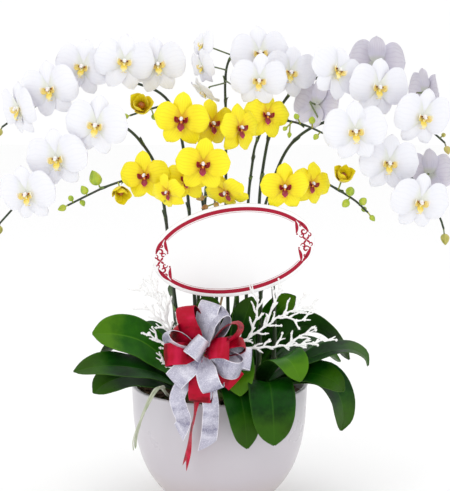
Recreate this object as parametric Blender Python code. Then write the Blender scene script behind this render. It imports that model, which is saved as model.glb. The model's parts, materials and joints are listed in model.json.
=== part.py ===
"""A gift planter of moth orchids: a glazed bowl, its bark, five leaf fans, ten
flower spikes in white and yellow, a greeting card on a stake, painted twigs
and a ribbon bow.  Metres, +Z up.  The origin is the middle of the foot of the
bowl, on the surface it stands on.  -Y is the front.  Tables are in
millimetres."""

import math

import bmesh
import bpy
from mathutils import Matrix, Vector

for old in list(bpy.data.objects):
    bpy.data.objects.remove(old, do_unlink=True)

MM = 0.001
GAP = 0.0004  # clearance between pieces that touch

# ---- the bowl and its fill
BOWL_HEIGHT = 0.220
BOWL_WALL = 0.007
BOWL_SIDES = 28
#            radius, height of the outside wall
BOWL_SIDE = ((64, 0), (72, 3), (94, 23), (109, 39), (122, 57), (132, 76), (139, 95), (145, 118), (150, 152), (152, 185), (153, 212))
BARK_TOP = 0.200
GROUND = BARK_TOP + GAP

# ---- flowers
WHITE_WIDTH = 0.101
YELLOW_WIDTH = 0.090
PETAL_THICKNESS = 0.0016
LIP_REACH = 0.013
PEDICEL_RADIUS = 0.0014
PEDICEL_RUN = 0.016

# ---- stems
STEM_SIDES = 5
STEM_STEP = 0.040
BUD_SIDES = 5

# ---- leaves
LEAF_THICKNESS = 0.0032
LEAF_CHANNEL = 0.16  # how far the edges stand above the midrib, as a share of the half width
CROWN_RADIUS = 0.011

# ---- card, ribbon, twigs
CARD_CENTRE = (23, -125, 474)
CARD_HALF = (134, 76)
CARD_THICKNESS = 0.0030
CARD_TILT = math.radians(8.5)
RIBBON_WIDTH = 0.037
RIBBON_THICKNESS = 0.0014
STAKE_RADIUS = 0.0020


# ---------------------------------------------------------------- materials
def material(name, colour, roughness, metallic=0.0):
    made = bpy.data.materials.new(name)
    made.use_nodes = True
    shader = made.node_tree.nodes["Principled BSDF"]
    shader.inputs["Base Color"].default_value = (*colour, 1.0)
    shader.inputs["Roughness"].default_value = roughness
    shader.inputs["Metallic"].default_value = metallic
    return made


COLOURS = {
    "glaze": ((0.72, 0.68, 0.72), 0.30, 0.0),
    "bark": ((0.10, 0.055, 0.03), 0.90, 0.0),
    "white_petal": ((0.86, 0.86, 0.88), 0.50, 0.0),
    "yellow_petal": ((0.88, 0.72, 0.02), 0.50, 0.0),
    "stem": ((0.035, 0.075, 0.02), 0.50, 0.0),
    "leaf": ((0.02, 0.10, 0.012), 0.35, 0.0),
    "card": ((0.90, 0.89, 0.88), 0.55, 0.0),
    "stake": ((0.30, 0.20, 0.10), 0.70, 0.0),
    "red_ribbon": ((0.48, 0.005, 0.03), 0.35, 0.0),
    "silver_ribbon": ((0.55, 0.54, 0.63), 0.40, 0.3),
    "twig": ((0.85, 0.85, 0.83), 0.80, 0.0),
}


# ---------------------------------------------------------------- geometry
def vec(point):
    return Vector(point) * MM


def resampled(points, step=None, count=None):
    """Points at even spacing along a smooth curve through the given ones."""
    ends = [points[0] * 2 - points[1], *points, points[-1] * 2 - points[-2]]
    fine = []
    for a, b, c, d in zip(ends, ends[1:], ends[2:], ends[3:]):
        for k in range(16):
            t = k / 16
            fine.append(
                0.5 * (2 * b + (c - a) * t + (2 * a - 5 * b + 4 * c - d) * t * t + (3 * b - a - 3 * c + d) * t**3)
            )
    fine.append(points[-1].copy())
    along = [0.0]
    for a, b in zip(fine, fine[1:]):
        along.append(along[-1] + (b - a).length)
    if count is None:
        count = max(3, round(along[-1] / step) + 1)
    made, at = [], 0
    for k in range(count):
        target = along[-1] * k / (count - 1)
        while at < len(fine) - 2 and along[at + 1] < target:
            at += 1
        span = along[at + 1] - along[at] or 1.0
        made.append(fine[at].lerp(fine[at + 1], min(1.0, (target - along[at]) / span)))
    return made


def tangents(points):
    last = len(points) - 1
    return [(points[min(i + 1, last)] - points[max(i - 1, 0)]).normalized() for i in range(last + 1)]


def carried(directions, first):
    """A side direction for each point, turned as little as the path allows."""
    side = (first - directions[0] * first.dot(directions[0])).normalized()
    sides = [side]
    for before, after in zip(directions, directions[1:]):
        side = before.rotation_difference(after) @ side
        side = (side - after * side.dot(after)).normalized()
        sides.append(side)
    return sides


def sweep(bm, rings):
    """Quads between rings of equal size, with a face closing each end."""
    rows = [[bm.verts.new(point) for point in ring] for ring in rings]
    size = len(rows[0])
    for low, high in zip(rows, rows[1:]):
        for k in range(size):
            bm.faces.new((low[k], low[(k + 1) % size], high[(k + 1) % size], high[k]))
    bm.faces.new(list(reversed(rows[0])))
    bm.faces.new(rows[-1])


def tube(bm, points, radii, sides=STEM_SIDES):
    along = tangents(points)
    first = Vector((0, 1, 0)) if abs(along[0].y) < 0.9 else Vector((1, 0, 0))
    rings = []
    for point, way, side, radius in zip(points, along, carried(along, first), radii):
        other = way.cross(side)
        rings.append(
            [
                point + (side * math.cos(a) + other * math.sin(a)) * radius
                for a in (math.tau * k / sides for k in range(sides))
            ]
        )
    sweep(bm, rings)


def strip(bm, points, half_widths, thicknesses, roll, channel=0.0, turn=0.0):
    """A flat blade along a path: four corners, the midrib thicker than the edges."""
    along = tangents(points)
    flat = along[0].cross(Vector((0, 0, 1)))
    if flat.length < 0.2:
        flat = Vector((1, 0, 0))
    rings = []
    last = len(points) - 1
    for i, (point, way, side) in enumerate(zip(points, along, carried(along, flat))):
        side = Matrix.Rotation(roll + turn * i / last, 3, way) @ side
        up = side.cross(way)
        w, t = half_widths[i], thicknesses[i] / 2
        lift = up * channel * w
        rings.append([point + side * w + lift, point + up * t, point - side * w + lift, point - up * t])
    sweep(bm, rings)


def ribbon(bm, points, width, thickness, roll, turn=0.0):
    """A band of even thickness along a path."""
    along = tangents(points)
    flat = along[0].cross(Vector((0, 1, 0)))
    if flat.length < 0.2:
        flat = Vector((1, 0, 0))
    rings = []
    last = len(points) - 1
    for i, (point, way, side) in enumerate(zip(points, along, carried(along, flat))):
        side = Matrix.Rotation(roll + turn * i / last, 3, way) @ side
        up = side.cross(way)
        w, t = width / 2, thickness / 2
        rings.append(
            [point + side * w + up * t, point - side * w + up * t, point - side * w - up * t, point + side * w - up * t]
        )
    sweep(bm, rings)


def placed(name, bm, look, sharp=40):
    bmesh.ops.recalc_face_normals(bm, faces=bm.faces[:])
    mesh = bpy.data.meshes.new(name)
    bm.to_mesh(mesh)
    bm.free()
    mesh.shade_smooth()
    mesh.set_sharp_from_angle(angle=math.radians(sharp))
    made = bpy.data.objects.new(name, mesh)
    bpy.context.scene.collection.objects.link(made)
    colour, roughness, metallic = COLOURS[look]
    mesh.materials.append(material(name, colour, roughness, metallic))
    return made


def joined(name, pieces, look, sharp=40):
    """One closed body from pieces that run into each other."""
    body = placed(name, pieces[0], look, sharp)
    helpers = bpy.data.collections.new(name + "_pieces")
    bpy.context.scene.collection.children.link(helpers)
    for k, bm in enumerate(pieces[1:]):
        bmesh.ops.recalc_face_normals(bm, faces=bm.faces[:])
        mesh = bpy.data.meshes.new(f"{name}_piece_{k}")
        bm.to_mesh(mesh)
        bm.free()
        helper = bpy.data.objects.new(f"{name}_piece_{k}", mesh)
        helper.display_type = "WIRE"
        helper.hide_render = True
        helpers.objects.link(helper)
    if len(pieces) > 1:
        cut = body.modifiers.new("union", "BOOLEAN")
        cut.operation = "UNION"
        cut.solver = "EXACT"
        cut.operand_type = "COLLECTION"
        cut.collection = helpers
        cut.use_self = True
        bpy.context.view_layer.update()
        graph = bpy.context.evaluated_depsgraph_get()
        merged = bpy.data.meshes.new_from_object(body.evaluated_get(graph))
        body.modifiers.clear()
        body.data = merged
        merged.name = name
        merged.shade_smooth()
        merged.set_sharp_from_angle(angle=math.radians(sharp))
    for helper in list(helpers.objects):
        bpy.data.objects.remove(helper, do_unlink=True)
    bpy.data.collections.remove(helpers)
    return body


# ---------------------------------------------------------------- bowl, bark
def turned(name, profile, look, sharp=40):
    """A body turned about Z from (radius, height) points, both ends on the axis."""
    bm = bmesh.new()
    rings = []
    for radius, height in profile:
        if radius < 1e-6:
            rings.append([bm.verts.new((0, 0, height))])
        else:
            rings.append(
                [
                    bm.verts.new((radius * math.cos(a), radius * math.sin(a), height))
                    for a in (math.tau * k / BOWL_SIDES for k in range(BOWL_SIDES))
                ]
            )
    for low, high in zip(rings, rings[1:]):
        for k in range(BOWL_SIDES):
            n = (k + 1) % BOWL_SIDES
            if len(low) == 1:
                bm.faces.new((low[0], high[n], high[k]))
            elif len(high) == 1:
                bm.faces.new((low[k], low[n], high[0]))
            else:
                bm.faces.new((low[k], low[n], high[n], high[k]))
    return placed(name, bm, look, sharp)


outside = [(r * MM, z * MM) for r, z in BOWL_SIDE]
rim = [(0.1540, 0.217), (0.1525, BOWL_HEIGHT), (0.1490, BOWL_HEIGHT), (0.1465, 0.217)]
inside = [(r - BOWL_WALL, z) for r, z in reversed(outside) if 0.019 < z < 0.2]
turned(
    "bowl",
    [(0, 0), *outside, *rim, *inside, (0.070, 0.016), (0, 0.016)],
    "glaze",
)
fill = [(r - BOWL_WALL - GAP * 2, z) for r, z in outside if 0.019 < z < BARK_TOP]
top_radius = fill[-1][0] + 0.0006
turned(
    "potting_bark",
    [(0, 0.016 + GAP), (0.068, 0.016 + GAP), *fill, (top_radius, BARK_TOP), (0, BARK_TOP)],
    "bark",
)

# ---------------------------------------------------------------- spikes
# Each spike: the middle of the stem from the bark upwards, then its buds as
# (x, y, z, radius).  A stem is 3.6 mm in radius at the foot and 1.7 at the tip.
STEM_FOOT, STEM_TIP = 0.0036, 0.0017
SPIKES = {
    "white_spike_left_low": (
        "stem",
        [(-62, -18, 200.4), (-70, -8, 300), (-82, -2, 410), (-91, -18, 508), (-98, -38, 562), (-112, -58, 618),
         (-150, -78, 668), (-196, -88, 682), (-246, -86, 650), (-294, -84, 590), (-342, -80, 536), (-364, -80, 512)],
        [(-367, -82, 500, 7)],
    ),
    "white_spike_left_high": (
        "stem",
        [(-44, 26, 200.4), (-42, 30, 304), (-48, 30, 447), (-54, 12, 541), (-62, -6, 633), (-76, -18, 692),
         (-98, -22, 722), (-134, -25, 738), (-182, -28, 748), (-236, -32, 738), (-289, -36, 712), (-338, -38, 684), (-362, -40, 668)],
        [(-367, -44, 658, 6)],
    ),
    "white_spike_centre": (
        "stem",
        [(14, 22, 200.4), (15, 20, 306), (13, 20, 431), (11, 10, 529), (11, 5, 587), (11, -2, 676), (10, -8, 744),
         (18, -12, 780), (43, -16, 800), (76, -20, 798), (98, -24, 782)],
        [(-10, -2, 603, 4), (0, -16, 662, 5)],
    ),
    "white_spike_right_high": (
        "stem",
        [(64, 28, 200.4), (72, 30, 304), (69, 30, 464), (70, 15, 554), (84, -8, 651), (102, -16, 698), (134, -26, 736),
         (184, -30, 752), (233, -32, 744), (300, -38, 710), (342, -40, 672), (376, -44, 642)],
        [(380, -48, 630, 6), (372, -56, 656, 4)],
    ),
    "white_spike_right_low": (
        "stem",
        [(90, -12, 200.4), (96, 0, 311), (90, 0, 435), (86, -8, 540), (104, -26, 610), (134, -46, 654), (182, -68, 680),
         (230, -76, 672), (281, -74, 630), (321, -78, 583), (362, -82, 527), (372, -84, 503)],
        [(374, -86, 486, 8)],
    ),
    "yellow_spike_left_high": (
        "stem",
        [(-20, 6, 200.7), (-27, 4, 311), (-30, -4, 436), (-24, -22, 543), (-17, -40, 614), (-26, -56, 664),
         (-50, -66, 694), (-82, -68, 706), (-114, -70, 700), (-146, -74, 690)],
        [(-154, -78, 688, 5), (-106, -86, 688, 5), (-126, -97, 708, 18)],
    ),
    "yellow_spike_left_low": (
        "stem",
        [(-38, -26, 200.8), (-38, -14, 311), (-33, -38, 444), (-26, -66, 525), (-36, -82, 574), (-64, -88, 594),
         (-110, -84, 597), (-153, -84, 585), (-188, -86, 573), (-216, -88, 560), (-250, -90, 543)],
        [(-259, -92, 539, 6), (-203, -92, 589, 11), (-222, -96, 570, 7), (-226, -86, 546, 5), (-244, -98, 556, 5),
         (-161, -112, 568, 15)],
    ),
    "yellow_spike_centre": (
        "stem",
        [(-8, -16, 200.4), (-6, -16, 318), (-4, -44, 444), (-6, -74, 525), (-10, -94, 582), (-22, -106, 616)],
        [(-31, -96, 556, 6), (-24, -92, 540, 5), (-4, -100, 545, 5)],
    ),
    "yellow_spike_right_high": (
        "stem",
        [(44, -4, 200.4), (46, 0, 311), (47, -2, 435), (49, -16, 538), (55, -36, 603), (61, -50, 641), (78, -58, 672),
         (104, -50, 680), (140, -72, 674), (170, -86, 662)],
        [(179, -89, 659, 5), (126, -86, 690, 5), (152, -92, 684, 6), (158, -94, 656, 5), (108, -78, 668, 4), (116, -56, 656, 4)],
    ),
    "yellow_spike_right_low": (
        "stem",
        [(64, -18, 200.4), (70, -14, 318), (72, -34, 442), (74, -60, 524), (86, -76, 564), (112, -74, 586), (142, -56, 589),
         (170, -60, 580), (194, -68, 568), (224, -78, 550), (246, -80, 530)],
        [(254, -80, 520, 5), (216, -92, 568, 8), (208, -88, 546, 7), (238, -88, 550, 7), (240, -72, 534, 5), (203, -95, 592, 16)],
    ),
}


def spike_path(name):
    return resampled([vec(p) for p in SPIKES[name][1]], step=STEM_STEP)


def stem_radius(share):
    return STEM_FOOT + (STEM_TIP - STEM_FOOT) * share


def nearest(path, point):
    """The nearest point on a path, and how far along it lies from 0 to 1."""
    best = None
    for i, (a, b) in enumerate(zip(path, path[1:])):
        way = b - a
        t = max(0.0, min(1.0, (point - a).dot(way) / way.length_squared))
        spot = a + way * t
        if best is None or (spot - point).length < best[0]:
            best = ((spot - point).length, spot, (i + t) / (len(path) - 1))
    return best[1], best[2]


def bud_path(path, centre, radius):
    """A bud on its short stalk, from the middle of the stem to past the bud's tip."""
    foot, _ = nearest(path, centre)
    way = (centre - foot).normalized()
    top = centre + way * radius * 1.25
    points = [foot, foot.lerp(centre, 0.45), centre - way * radius * 1.15, centre - way * radius * 0.35,
              centre + way * radius * 0.45, top]
    radii = [0.0012, 0.0012, 0.0014 + radius * 0.1, radius * 0.95, radius * 0.88, radius * 0.22]
    return points, radii


for name, (look, _, buds) in SPIKES.items():
    path = spike_path(name)
    bm = bmesh.new()
    tube(bm, path, [stem_radius(i / (len(path) - 1)) for i in range(len(path))])
    pieces = [bm]
    for x, y, z, size in buds:
        points, radii = bud_path(path, vec((x, y, z)), size * MM)
        bm = bmesh.new()
        tube(bm, points, radii, BUD_SIDES)
        pieces.append(bm)
    joined(name, pieces, look)

# ---------------------------------------------------------------- flowers
# The outline of a flower, as angle and share of its width: the upper sepal at
# 90 degrees, a broad petal at each side, the two lower sepals, and the dip
# under the lip at 270.
OUTLINE = ((90, 0.48), (106, 0.42), (122, 0.41), (146, 0.48), (172, 0.50), (200, 0.43), (218, 0.34), (240, 0.46))
BOTTOM = (270, 0.20)
STAR = ((90, 0.48), (106, 0.40), (122, 0.37), (146, 0.45), (172, 0.50), (198, 0.42), (216, 0.32), (238, 0.48))
# name: spike, place, turn to the right, nod downwards, roll, size
FLOWERS = {
    "white_flower_01": ("white_spike_left_high", (-328, -72, 699), -50, 8, 6, 0.96),
    "white_flower_02": ("white_spike_left_high", (-276, -84, 732), -14, 6, 10, 1.0),
    "white_flower_03": ("white_spike_left_high", (-224, -62, 767), -12, 0, -8, 0.97),
    "white_flower_04": ("white_spike_left_high", (-155, -76, 776), 6, -4, -6, 0.98),
    "white_flower_05": ("white_spike_left_high", (-102, -56, 770), 12, -4, 6, 0.97),
    "white_flower_06": ("white_spike_left_low", (-198, -122, 677), -10, 6, -8, 1.04),
    "white_flower_07": ("white_spike_left_low", (-263, -112, 622), -12, 8, 8, 1.04),
    "white_flower_08": ("white_spike_left_low", (-312, -118, 565), -16, 12, 10, 1.0),
    "white_flower_09": ("white_spike_centre", (-26, -42, 802), -62, -10, 0, 0.62),
    "white_flower_10": ("white_spike_centre", (-27, -54, 768), -52, 10, 0, 0.62),
    "white_flower_11": ("white_spike_centre", (-23, -58, 728), -66, 42, 0, 0.60),
    "white_flower_12": ("white_spike_centre", (67, -46, 788), 8, -6, 4, 0.98),
    "white_flower_13": ("white_spike_centre", (64, -96, 748), 4, 12, -4, 0.92, (-34, 0, -16)),
    "white_flower_14": ("white_spike_centre", (116, -56, 758), 14, 4, -10, 0.92),
    "white_flower_15": ("white_spike_right_high", (192, -78, 761), 30, -14, -32, 0.98),
    "white_flower_16": ("white_spike_right_high", (266, 12, 772), 168, -8, 4, 0.96),
    "white_flower_17": ("white_spike_right_high", (260, -80, 735), 12, 4, -6, 1.0),
    "white_flower_18": ("white_spike_right_high", (332, -86, 687), 20, 8, -10, 1.02),
    "white_flower_19": ("white_spike_right_high", (346, 2, 722), 118, 0, 0, 0.86),
    "white_flower_20": ("white_spike_right_low", (219, -132, 668), 2, 4, 4, 1.04),
    "white_flower_21": ("white_spike_right_low", (159, -50, 706), 140, 20, 10, 0.92),
    "white_flower_22": ("white_spike_right_low", (277, -98, 613), 8, 6, -6, 1.0),
    "white_flower_23": ("white_spike_right_low", (326, -120, 552), 14, 10, -10, 1.0),
    "white_flower_24": ("white_spike_right_low", (352, -34, 588), 148, 4, 0, 0.90),
    "yellow_flower_01": ("yellow_spike_left_high", (-60, -124, 687), -6, 2, -4, 1.04),
    "yellow_flower_02": ("yellow_spike_left_high", (-12, -84, 677), 30, 6, 4, 0.94),
    "yellow_flower_03": ("yellow_spike_right_high", (33, -112, 672), 38, 0, 0, 0.94),
    "yellow_flower_04": ("yellow_spike_right_high", (78, -76, 690), 20, -6, -6, 0.92),
    "yellow_flower_05": ("yellow_spike_left_low", (-121, -108, 594), -12, 4, 4, 0.96),
    "yellow_flower_06": ("yellow_spike_left_low", (-82, -140, 572), -34, 16, 14, 0.72, (-14, 0, -20)),
    "yellow_flower_07": ("yellow_spike_left_low", (-52, -112, 590), -8, 2, 0, 0.86),
    "yellow_flower_08": ("yellow_spike_centre", (-26, -148, 617), 4, 0, -4, 1.02),
    "yellow_flower_09": ("yellow_spike_centre", (12, -120, 570), -24, 34, 24, 0.86),
    "yellow_flower_10": ("yellow_spike_right_low", (106, -124, 578), 6, 4, 0, 0.92),
    "yellow_flower_11": ("yellow_spike_right_low", (152, -88, 578), 28, 2, -14, 0.86),
}


def flower_frame(place, turn, nod, roll):
    """Local axes: X to the flower's right, Y to its upper sepal, Z out of its face."""
    return (
        Matrix.Translation(vec(place))
        @ Matrix.Rotation(math.radians(turn), 4, "Z")
        @ Matrix.Rotation(math.radians(90 + nod), 4, "X")
        @ Matrix.Rotation(math.radians(roll), 4, "Z")
    )


def fan(bm, inner, outer, flip):
    """Triangles from a small ring to a larger one that has a whole number of times its points."""
    share = len(outer) // len(inner)
    for i, vert in enumerate(inner):
        following = inner[(i + 1) % len(inner)]
        for k in range(share):
            a, b = outer[(i * share + k) % len(outer)], outer[(i * share + k + 1) % len(outer)]
            bm.faces.new((vert, b, a) if flip else (vert, a, b))
        corner = outer[((i + 1) * share) % len(outer)]
        bm.faces.new((vert, following, corner) if flip else (vert, corner, following))


def flower(name, spike, place, turn, nod, roll, size, aside=(0, 0, 0)):
    yellow = name.startswith("yellow")
    width = (YELLOW_WIDTH if yellow else WHITE_WIDTH) * size
    half = STAR if yellow else OUTLINE
    edge = [*half, BOTTOM, *[(540 - a, r) for a, r in reversed(half[1:])]]
    frame = flower_frame(place, turn, nod, roll)
    bm = bmesh.new()

    def at(x, y, z):
        return bm.verts.new(frame @ Vector((x, y, z)))

    front, back = [], []
    for angle, share in edge:
        a, r = math.radians(angle), share * width
        lean = -0.05 * width * abs(math.sin(a)) * (share > 0.3)
        front.append(at(r * math.cos(a), r * math.sin(a), lean + 0.001))
        back.append(at(r * math.cos(a), r * math.sin(a), lean + 0.001 - PETAL_THICKNESS))
    lip = [at(0.0065 * math.cos(a), 0.0065 * math.sin(a), 0.0022) for a in (math.pi / 2 * (k + 1) for k in range(4))]
    tip = at(0, -0.009 * size, LIP_REACH * size)
    for i in range(4):
        bm.faces.new((lip[i], lip[(i + 1) % 4], tip))
    fan(bm, lip, front, False)
    for i in range(len(front)):
        n = (i + 1) % len(front)
        bm.faces.new((front[n], front[i], back[i], back[n]))

    # the pedicel: straight back from the flower, then across to the stem
    out = (frame.to_3x3() @ Vector((0, 0, 1))).normalized()
    start = frame @ Vector((0, 0, -PETAL_THICKNESS))
    bend = start - out * PEDICEL_RUN * size + vec(aside)
    path = spike_path(spike)
    spot, share = nearest(path, bend)
    way = (spot - bend).normalized()
    stop = spot - way * (stem_radius(share) + GAP * 1.6)
    stalk = [start - out * 0.002, bend, stop]
    along = [-out, (way - out).normalized(), way]
    first = (frame.to_3x3() @ Vector((0, 1, 0))).normalized()
    rows = []
    for point, direction, side in zip(stalk, along, carried(along, first)):
        other = side.cross(out) if direction is along[0] else side.cross(-direction)
        rows.append(
            [
                bm.verts.new(point + (side * math.cos(a) - other * math.sin(a)) * PEDICEL_RADIUS)
                for a in (math.pi / 2 * k for k in range(4))
            ]
        )
    fan(bm, rows[0], back, True)
    for low, high in zip(rows, rows[1:]):
        for k in range(4):
            n = (k + 1) % 4
            bm.faces.new((low[k], low[n], high[n], high[k]))
    bm.faces.new(rows[-1])
    placed(name, bm, "yellow_petal" if yellow else "white_petal", 60)


for name, row in FLOWERS.items():
    flower(name, *row)

# ---------------------------------------------------------------- leaf fans
# Each plant: its crown, then its leaves as the midrib from the crown outwards,
# full width, and roll about the midrib.
BLADE = (0.36, 0.50, 0.76, 0.96, 1.0, 0.88, 0.60, 0.10)
PLANTS = {
    "leaves_front_left": (
        (-60, -56),
        [
            ([(-62, -54, 222), (-92, -60, 272), (-130, -74, 308), (-172, -88, 324), (-212, -98, 328)], 80, -40),
            ([(-62, -60, 220), (-102, -86, 254), (-148, -112, 274), (-196, -130, 280), (-240, -140, 274)], 62, -30),
            ([(-64, -62, 214), (-104, -74, 240), (-148, -94, 254), (-186, -112, 248), (-210, -122, 232)], 68, -24),
        ],
        [(-84, -84, 216), (-96, -132, 244), (-108, -168, 246), (-124, -174, 212), (-136, -170, 172), (-138, -164, 150)],
    ),
    "leaves_back_left": (
        (-64, 56),
        [
            ([(-66, 56, 222), (-108, 46, 264), (-148, 30, 284), (-188, 14, 274), (-214, 4, 244)], 74, 40),
            ([(-66, 58, 222), (-112, 92, 262), (-152, 128, 272), (-190, 160, 244)], 78, -20),
            ([(-62, 60, 222), (-54, 112, 266), (-50, 160, 274), (-48, 206, 238)], 80, 12),
            ([(-66, 54, 218), (-122, 66, 238), (-172, 74, 244), (-216, 80, 214)], 66, 10),
            ([(-62, 54, 226), (-68, 46, 296), (-76, 40, 344), (-86, 34, 384)], 64, -76),
        ],
        None,
    ),
    "leaves_front_right": (
        (72, -54),
        [
            ([(74, -55, 222), (118, -68, 258), (165, -80, 286), (214, -86, 298), (242, -88, 288), (250, -88, 270)], 68, 12),
            ([(75, -58, 218), (116, -80, 246), (154, -102, 260), (188, -114, 252), (208, -118, 234)], 62, 24),
            ([(72, -60, 220), (86, -94, 266), (103, -130, 294), (119, -156, 292), (133, -172, 266)], 66, 14),
            ([(68, -62, 214), (76, -112, 246), (82, -156, 258), (86, -190, 238), (88, -202, 204), (90, -198, 166)], 76, 0),
            ([(76, -50, 214), (134, -58, 242), (176, -70, 246), (202, -80, 218), (210, -84, 184), (206, -86, 156)], 70, 18),
        ],
        None,
    ),
    "leaves_back_right": (
        (66, 58),
        [
            ([(68, 56, 224), (106, 44, 282), (148, 30, 312), (190, 14, 300), (226, 0, 258)], 76, -42),
            ([(68, 60, 218), (124, 72, 252), (174, 80, 260), (218, 86, 232)], 72, 8),
            ([(67, 62, 222), (98, 108, 264), (124, 150, 270), (146, 188, 240)], 76, 16),
            ([(64, 62, 220), (58, 116, 262), (54, 164, 270), (50, 208, 236)], 72, -10),
            ([(67, 56, 226), (84, 52, 292), (104, 46, 336), (134, 40, 362)], 52, 70),
            ([(65, 58, 228), (64, 62, 296), (68, 60, 344), (76, 58, 386)], 56, 80),
        ],
        None,
    ),
    "leaves_centre": (
        (6, -46),
        [
            ([(8, -47, 224), (30, -42, 298), (44, -40, 342), (56, -38, 378)], 54, 78),
            ([(4, -48, 224), (-20, -58, 288), (-42, -62, 332), (-58, -64, 362)], 52, -78),
            ([(2, -50, 222), (-12, -54, 290), (-19, -54, 340), (-23, -52, 386)], 64, -82),
            ([(9, -44, 224), (17, -38, 300), (24, -36, 350), (28, -34, 390)], 60, 82),
            ([(7, -52, 218), (18, -94, 268), (25, -130, 286), (31, -161, 272), (35, -178, 243)], 62, 8),
            ([(5, -52, 212), (16, -108, 242), (30, -152, 248), (40, -178, 212), (46, -178, 154)], 62, 0),
        ],
        None,
    ),
}

for name, (crown, blades, root) in PLANTS.items():
    x, y = crown
    bm = bmesh.new()
    tube(bm, [vec((x, y, GROUND / MM)), vec((x, y, 212)), vec((x, y, 228)), vec((x, y, 236))],
         [CROWN_RADIUS * 0.8, CROWN_RADIUS, CROWN_RADIUS, CROWN_RADIUS * 0.5], 8)
    pieces = [bm]
    for points, width, roll in blades:
        path = resampled([vec(p) for p in points], count=len(BLADE))
        bm = bmesh.new()
        strip(bm, path, [width / 2 * MM * share for share in BLADE], [LEAF_THICKNESS * (0.5 + 0.5 * share) for share in BLADE],
              math.radians(roll), LEAF_CHANNEL)
        pieces.append(bm)
    if root:
        bm = bmesh.new()
        path = resampled([vec((x, y, 214)), *[vec(p) for p in root]], step=0.022)
        tube(bm, path, [0.0028 - 0.0008 * i / (len(path) - 1) for i in range(len(path))], 6)
        pieces.append(bm)
    joined(name, pieces, "leaf")

# ---------------------------------------------------------------- card
CARD_SIDES = 36
bm = bmesh.new()
rings = []
for y, inset in ((0.0, 0.0008), (0.0008, 0.0), (CARD_THICKNESS - 0.0008, 0.0), (CARD_THICKNESS, 0.0008)):
    rings.append(
        [
            Vector(((CARD_HALF[0] * MM - inset) * math.cos(a), y - CARD_THICKNESS / 2, (CARD_HALF[1] * MM - inset) * math.sin(a)))
            for a in (math.tau * k / CARD_SIDES for k in range(CARD_SIDES))
        ]
    )
sweep(bm, rings)
bmesh.ops.transform(bm, matrix=Matrix.Translation(vec(CARD_CENTRE)) @ Matrix.Rotation(-CARD_TILT, 4, "Y"), verts=bm.verts[:])
placed("greeting_card", bm, "card", 60)

bm = bmesh.new()
behind = CARD_CENTRE[1] * MM + CARD_THICKNESS / 2 + STAKE_RADIUS + GAP
tube(bm, [Vector((-0.038, -0.100, GROUND)), Vector((0.006, behind, 0.402)), Vector((0.013, behind, 0.470))], [STAKE_RADIUS] * 3, 8)
placed("card_stake", bm, "stake")

# ---------------------------------------------------------------- bow
KNOT = (-26, -176, 314)
# tip of each loop from the knot, turn of the ribbon's width about the loop
LOOPS = (
    ((-34, -4, 74), 0), ((24, -6, 76), 20), ((-56, -4, 34), -20), ((-64, 0, -4), 10), ((-54, -8, -42), -10),
    ((10, -12, -60), 0), ((54, -6, -44), 15), ((68, 0, -6), -10), ((62, 2, 24), 10), ((58, 4, 52), -10),
    ((-14, -2, -74), 5), ((-6, -34, 14), 0),
)
LOOP_SHARE = ((0.0, 8, 7), (0.40, 15, 10), (0.85, 17, 12), (1.04, 10, 5))


def loop_solid(tip, turn):
    end = vec(tip)
    side = end.cross(Vector((0, 1, 0)))
    if side.length < 0.3 * end.length:
        side = end.cross(Vector((0, 0, 1)))
    side = Matrix.Rotation(math.radians(turn), 3, end.normalized()) @ side.normalized()
    up = side.cross(end.normalized())
    bm = bmesh.new()
    rings = []
    for share, wide, thick in LOOP_SHARE:
        middle = vec(KNOT) + end * share
        rings.append(
            [
                middle + side * wide * MM * math.cos(a) + up * thick * MM * math.sin(a)
                for a in (math.tau * (k + 0.5) / 6 for k in range(6))
            ]
        )
    sweep(bm, rings)
    return bm


bm = bmesh.new()
bmesh.ops.create_icosphere(bm, subdivisions=1, radius=0.017)
bmesh.ops.translate(bm, vec=vec(KNOT), verts=bm.verts[:])
pieces = [bm, *[loop_solid(tip, turn) for tip, turn in LOOPS]]
bm = bmesh.new()
tube(bm, [vec(KNOT), vec((-31, -152, 250)), vec((-40, -120, 201.4))], [0.0015] * 3, 5)
pieces.append(bm)
joined("ribbon_bow", pieces, "red_ribbon")

TAILS = {
    "ribbon_tail_left": ([(-66, -186, 250), (-64, -192, 226), (-58, -190, 204), (-70, -186, 174)], "silver_ribbon", 24, 12),
    "ribbon_tail_right": ([(-14, -190, 236), (-14, -192, 206), (-16, -184, 178), (-22, -176, 148)], "silver_ribbon", 26, -10),
    "ribbon_tail_red": ([(-40, -186, 218), (-46, -186, 190), (-50, -178, 154), (-58, -170, 118)], "red_ribbon", 16, 70),
}
for name, (points, look, width, roll) in TAILS.items():
    path = resampled([vec(p) for p in points], count=7)
    bm = bmesh.new()
    ribbon(bm, path, width * MM, RIBBON_THICKNESS, math.radians(roll))
    placed(name, bm, look)

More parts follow.
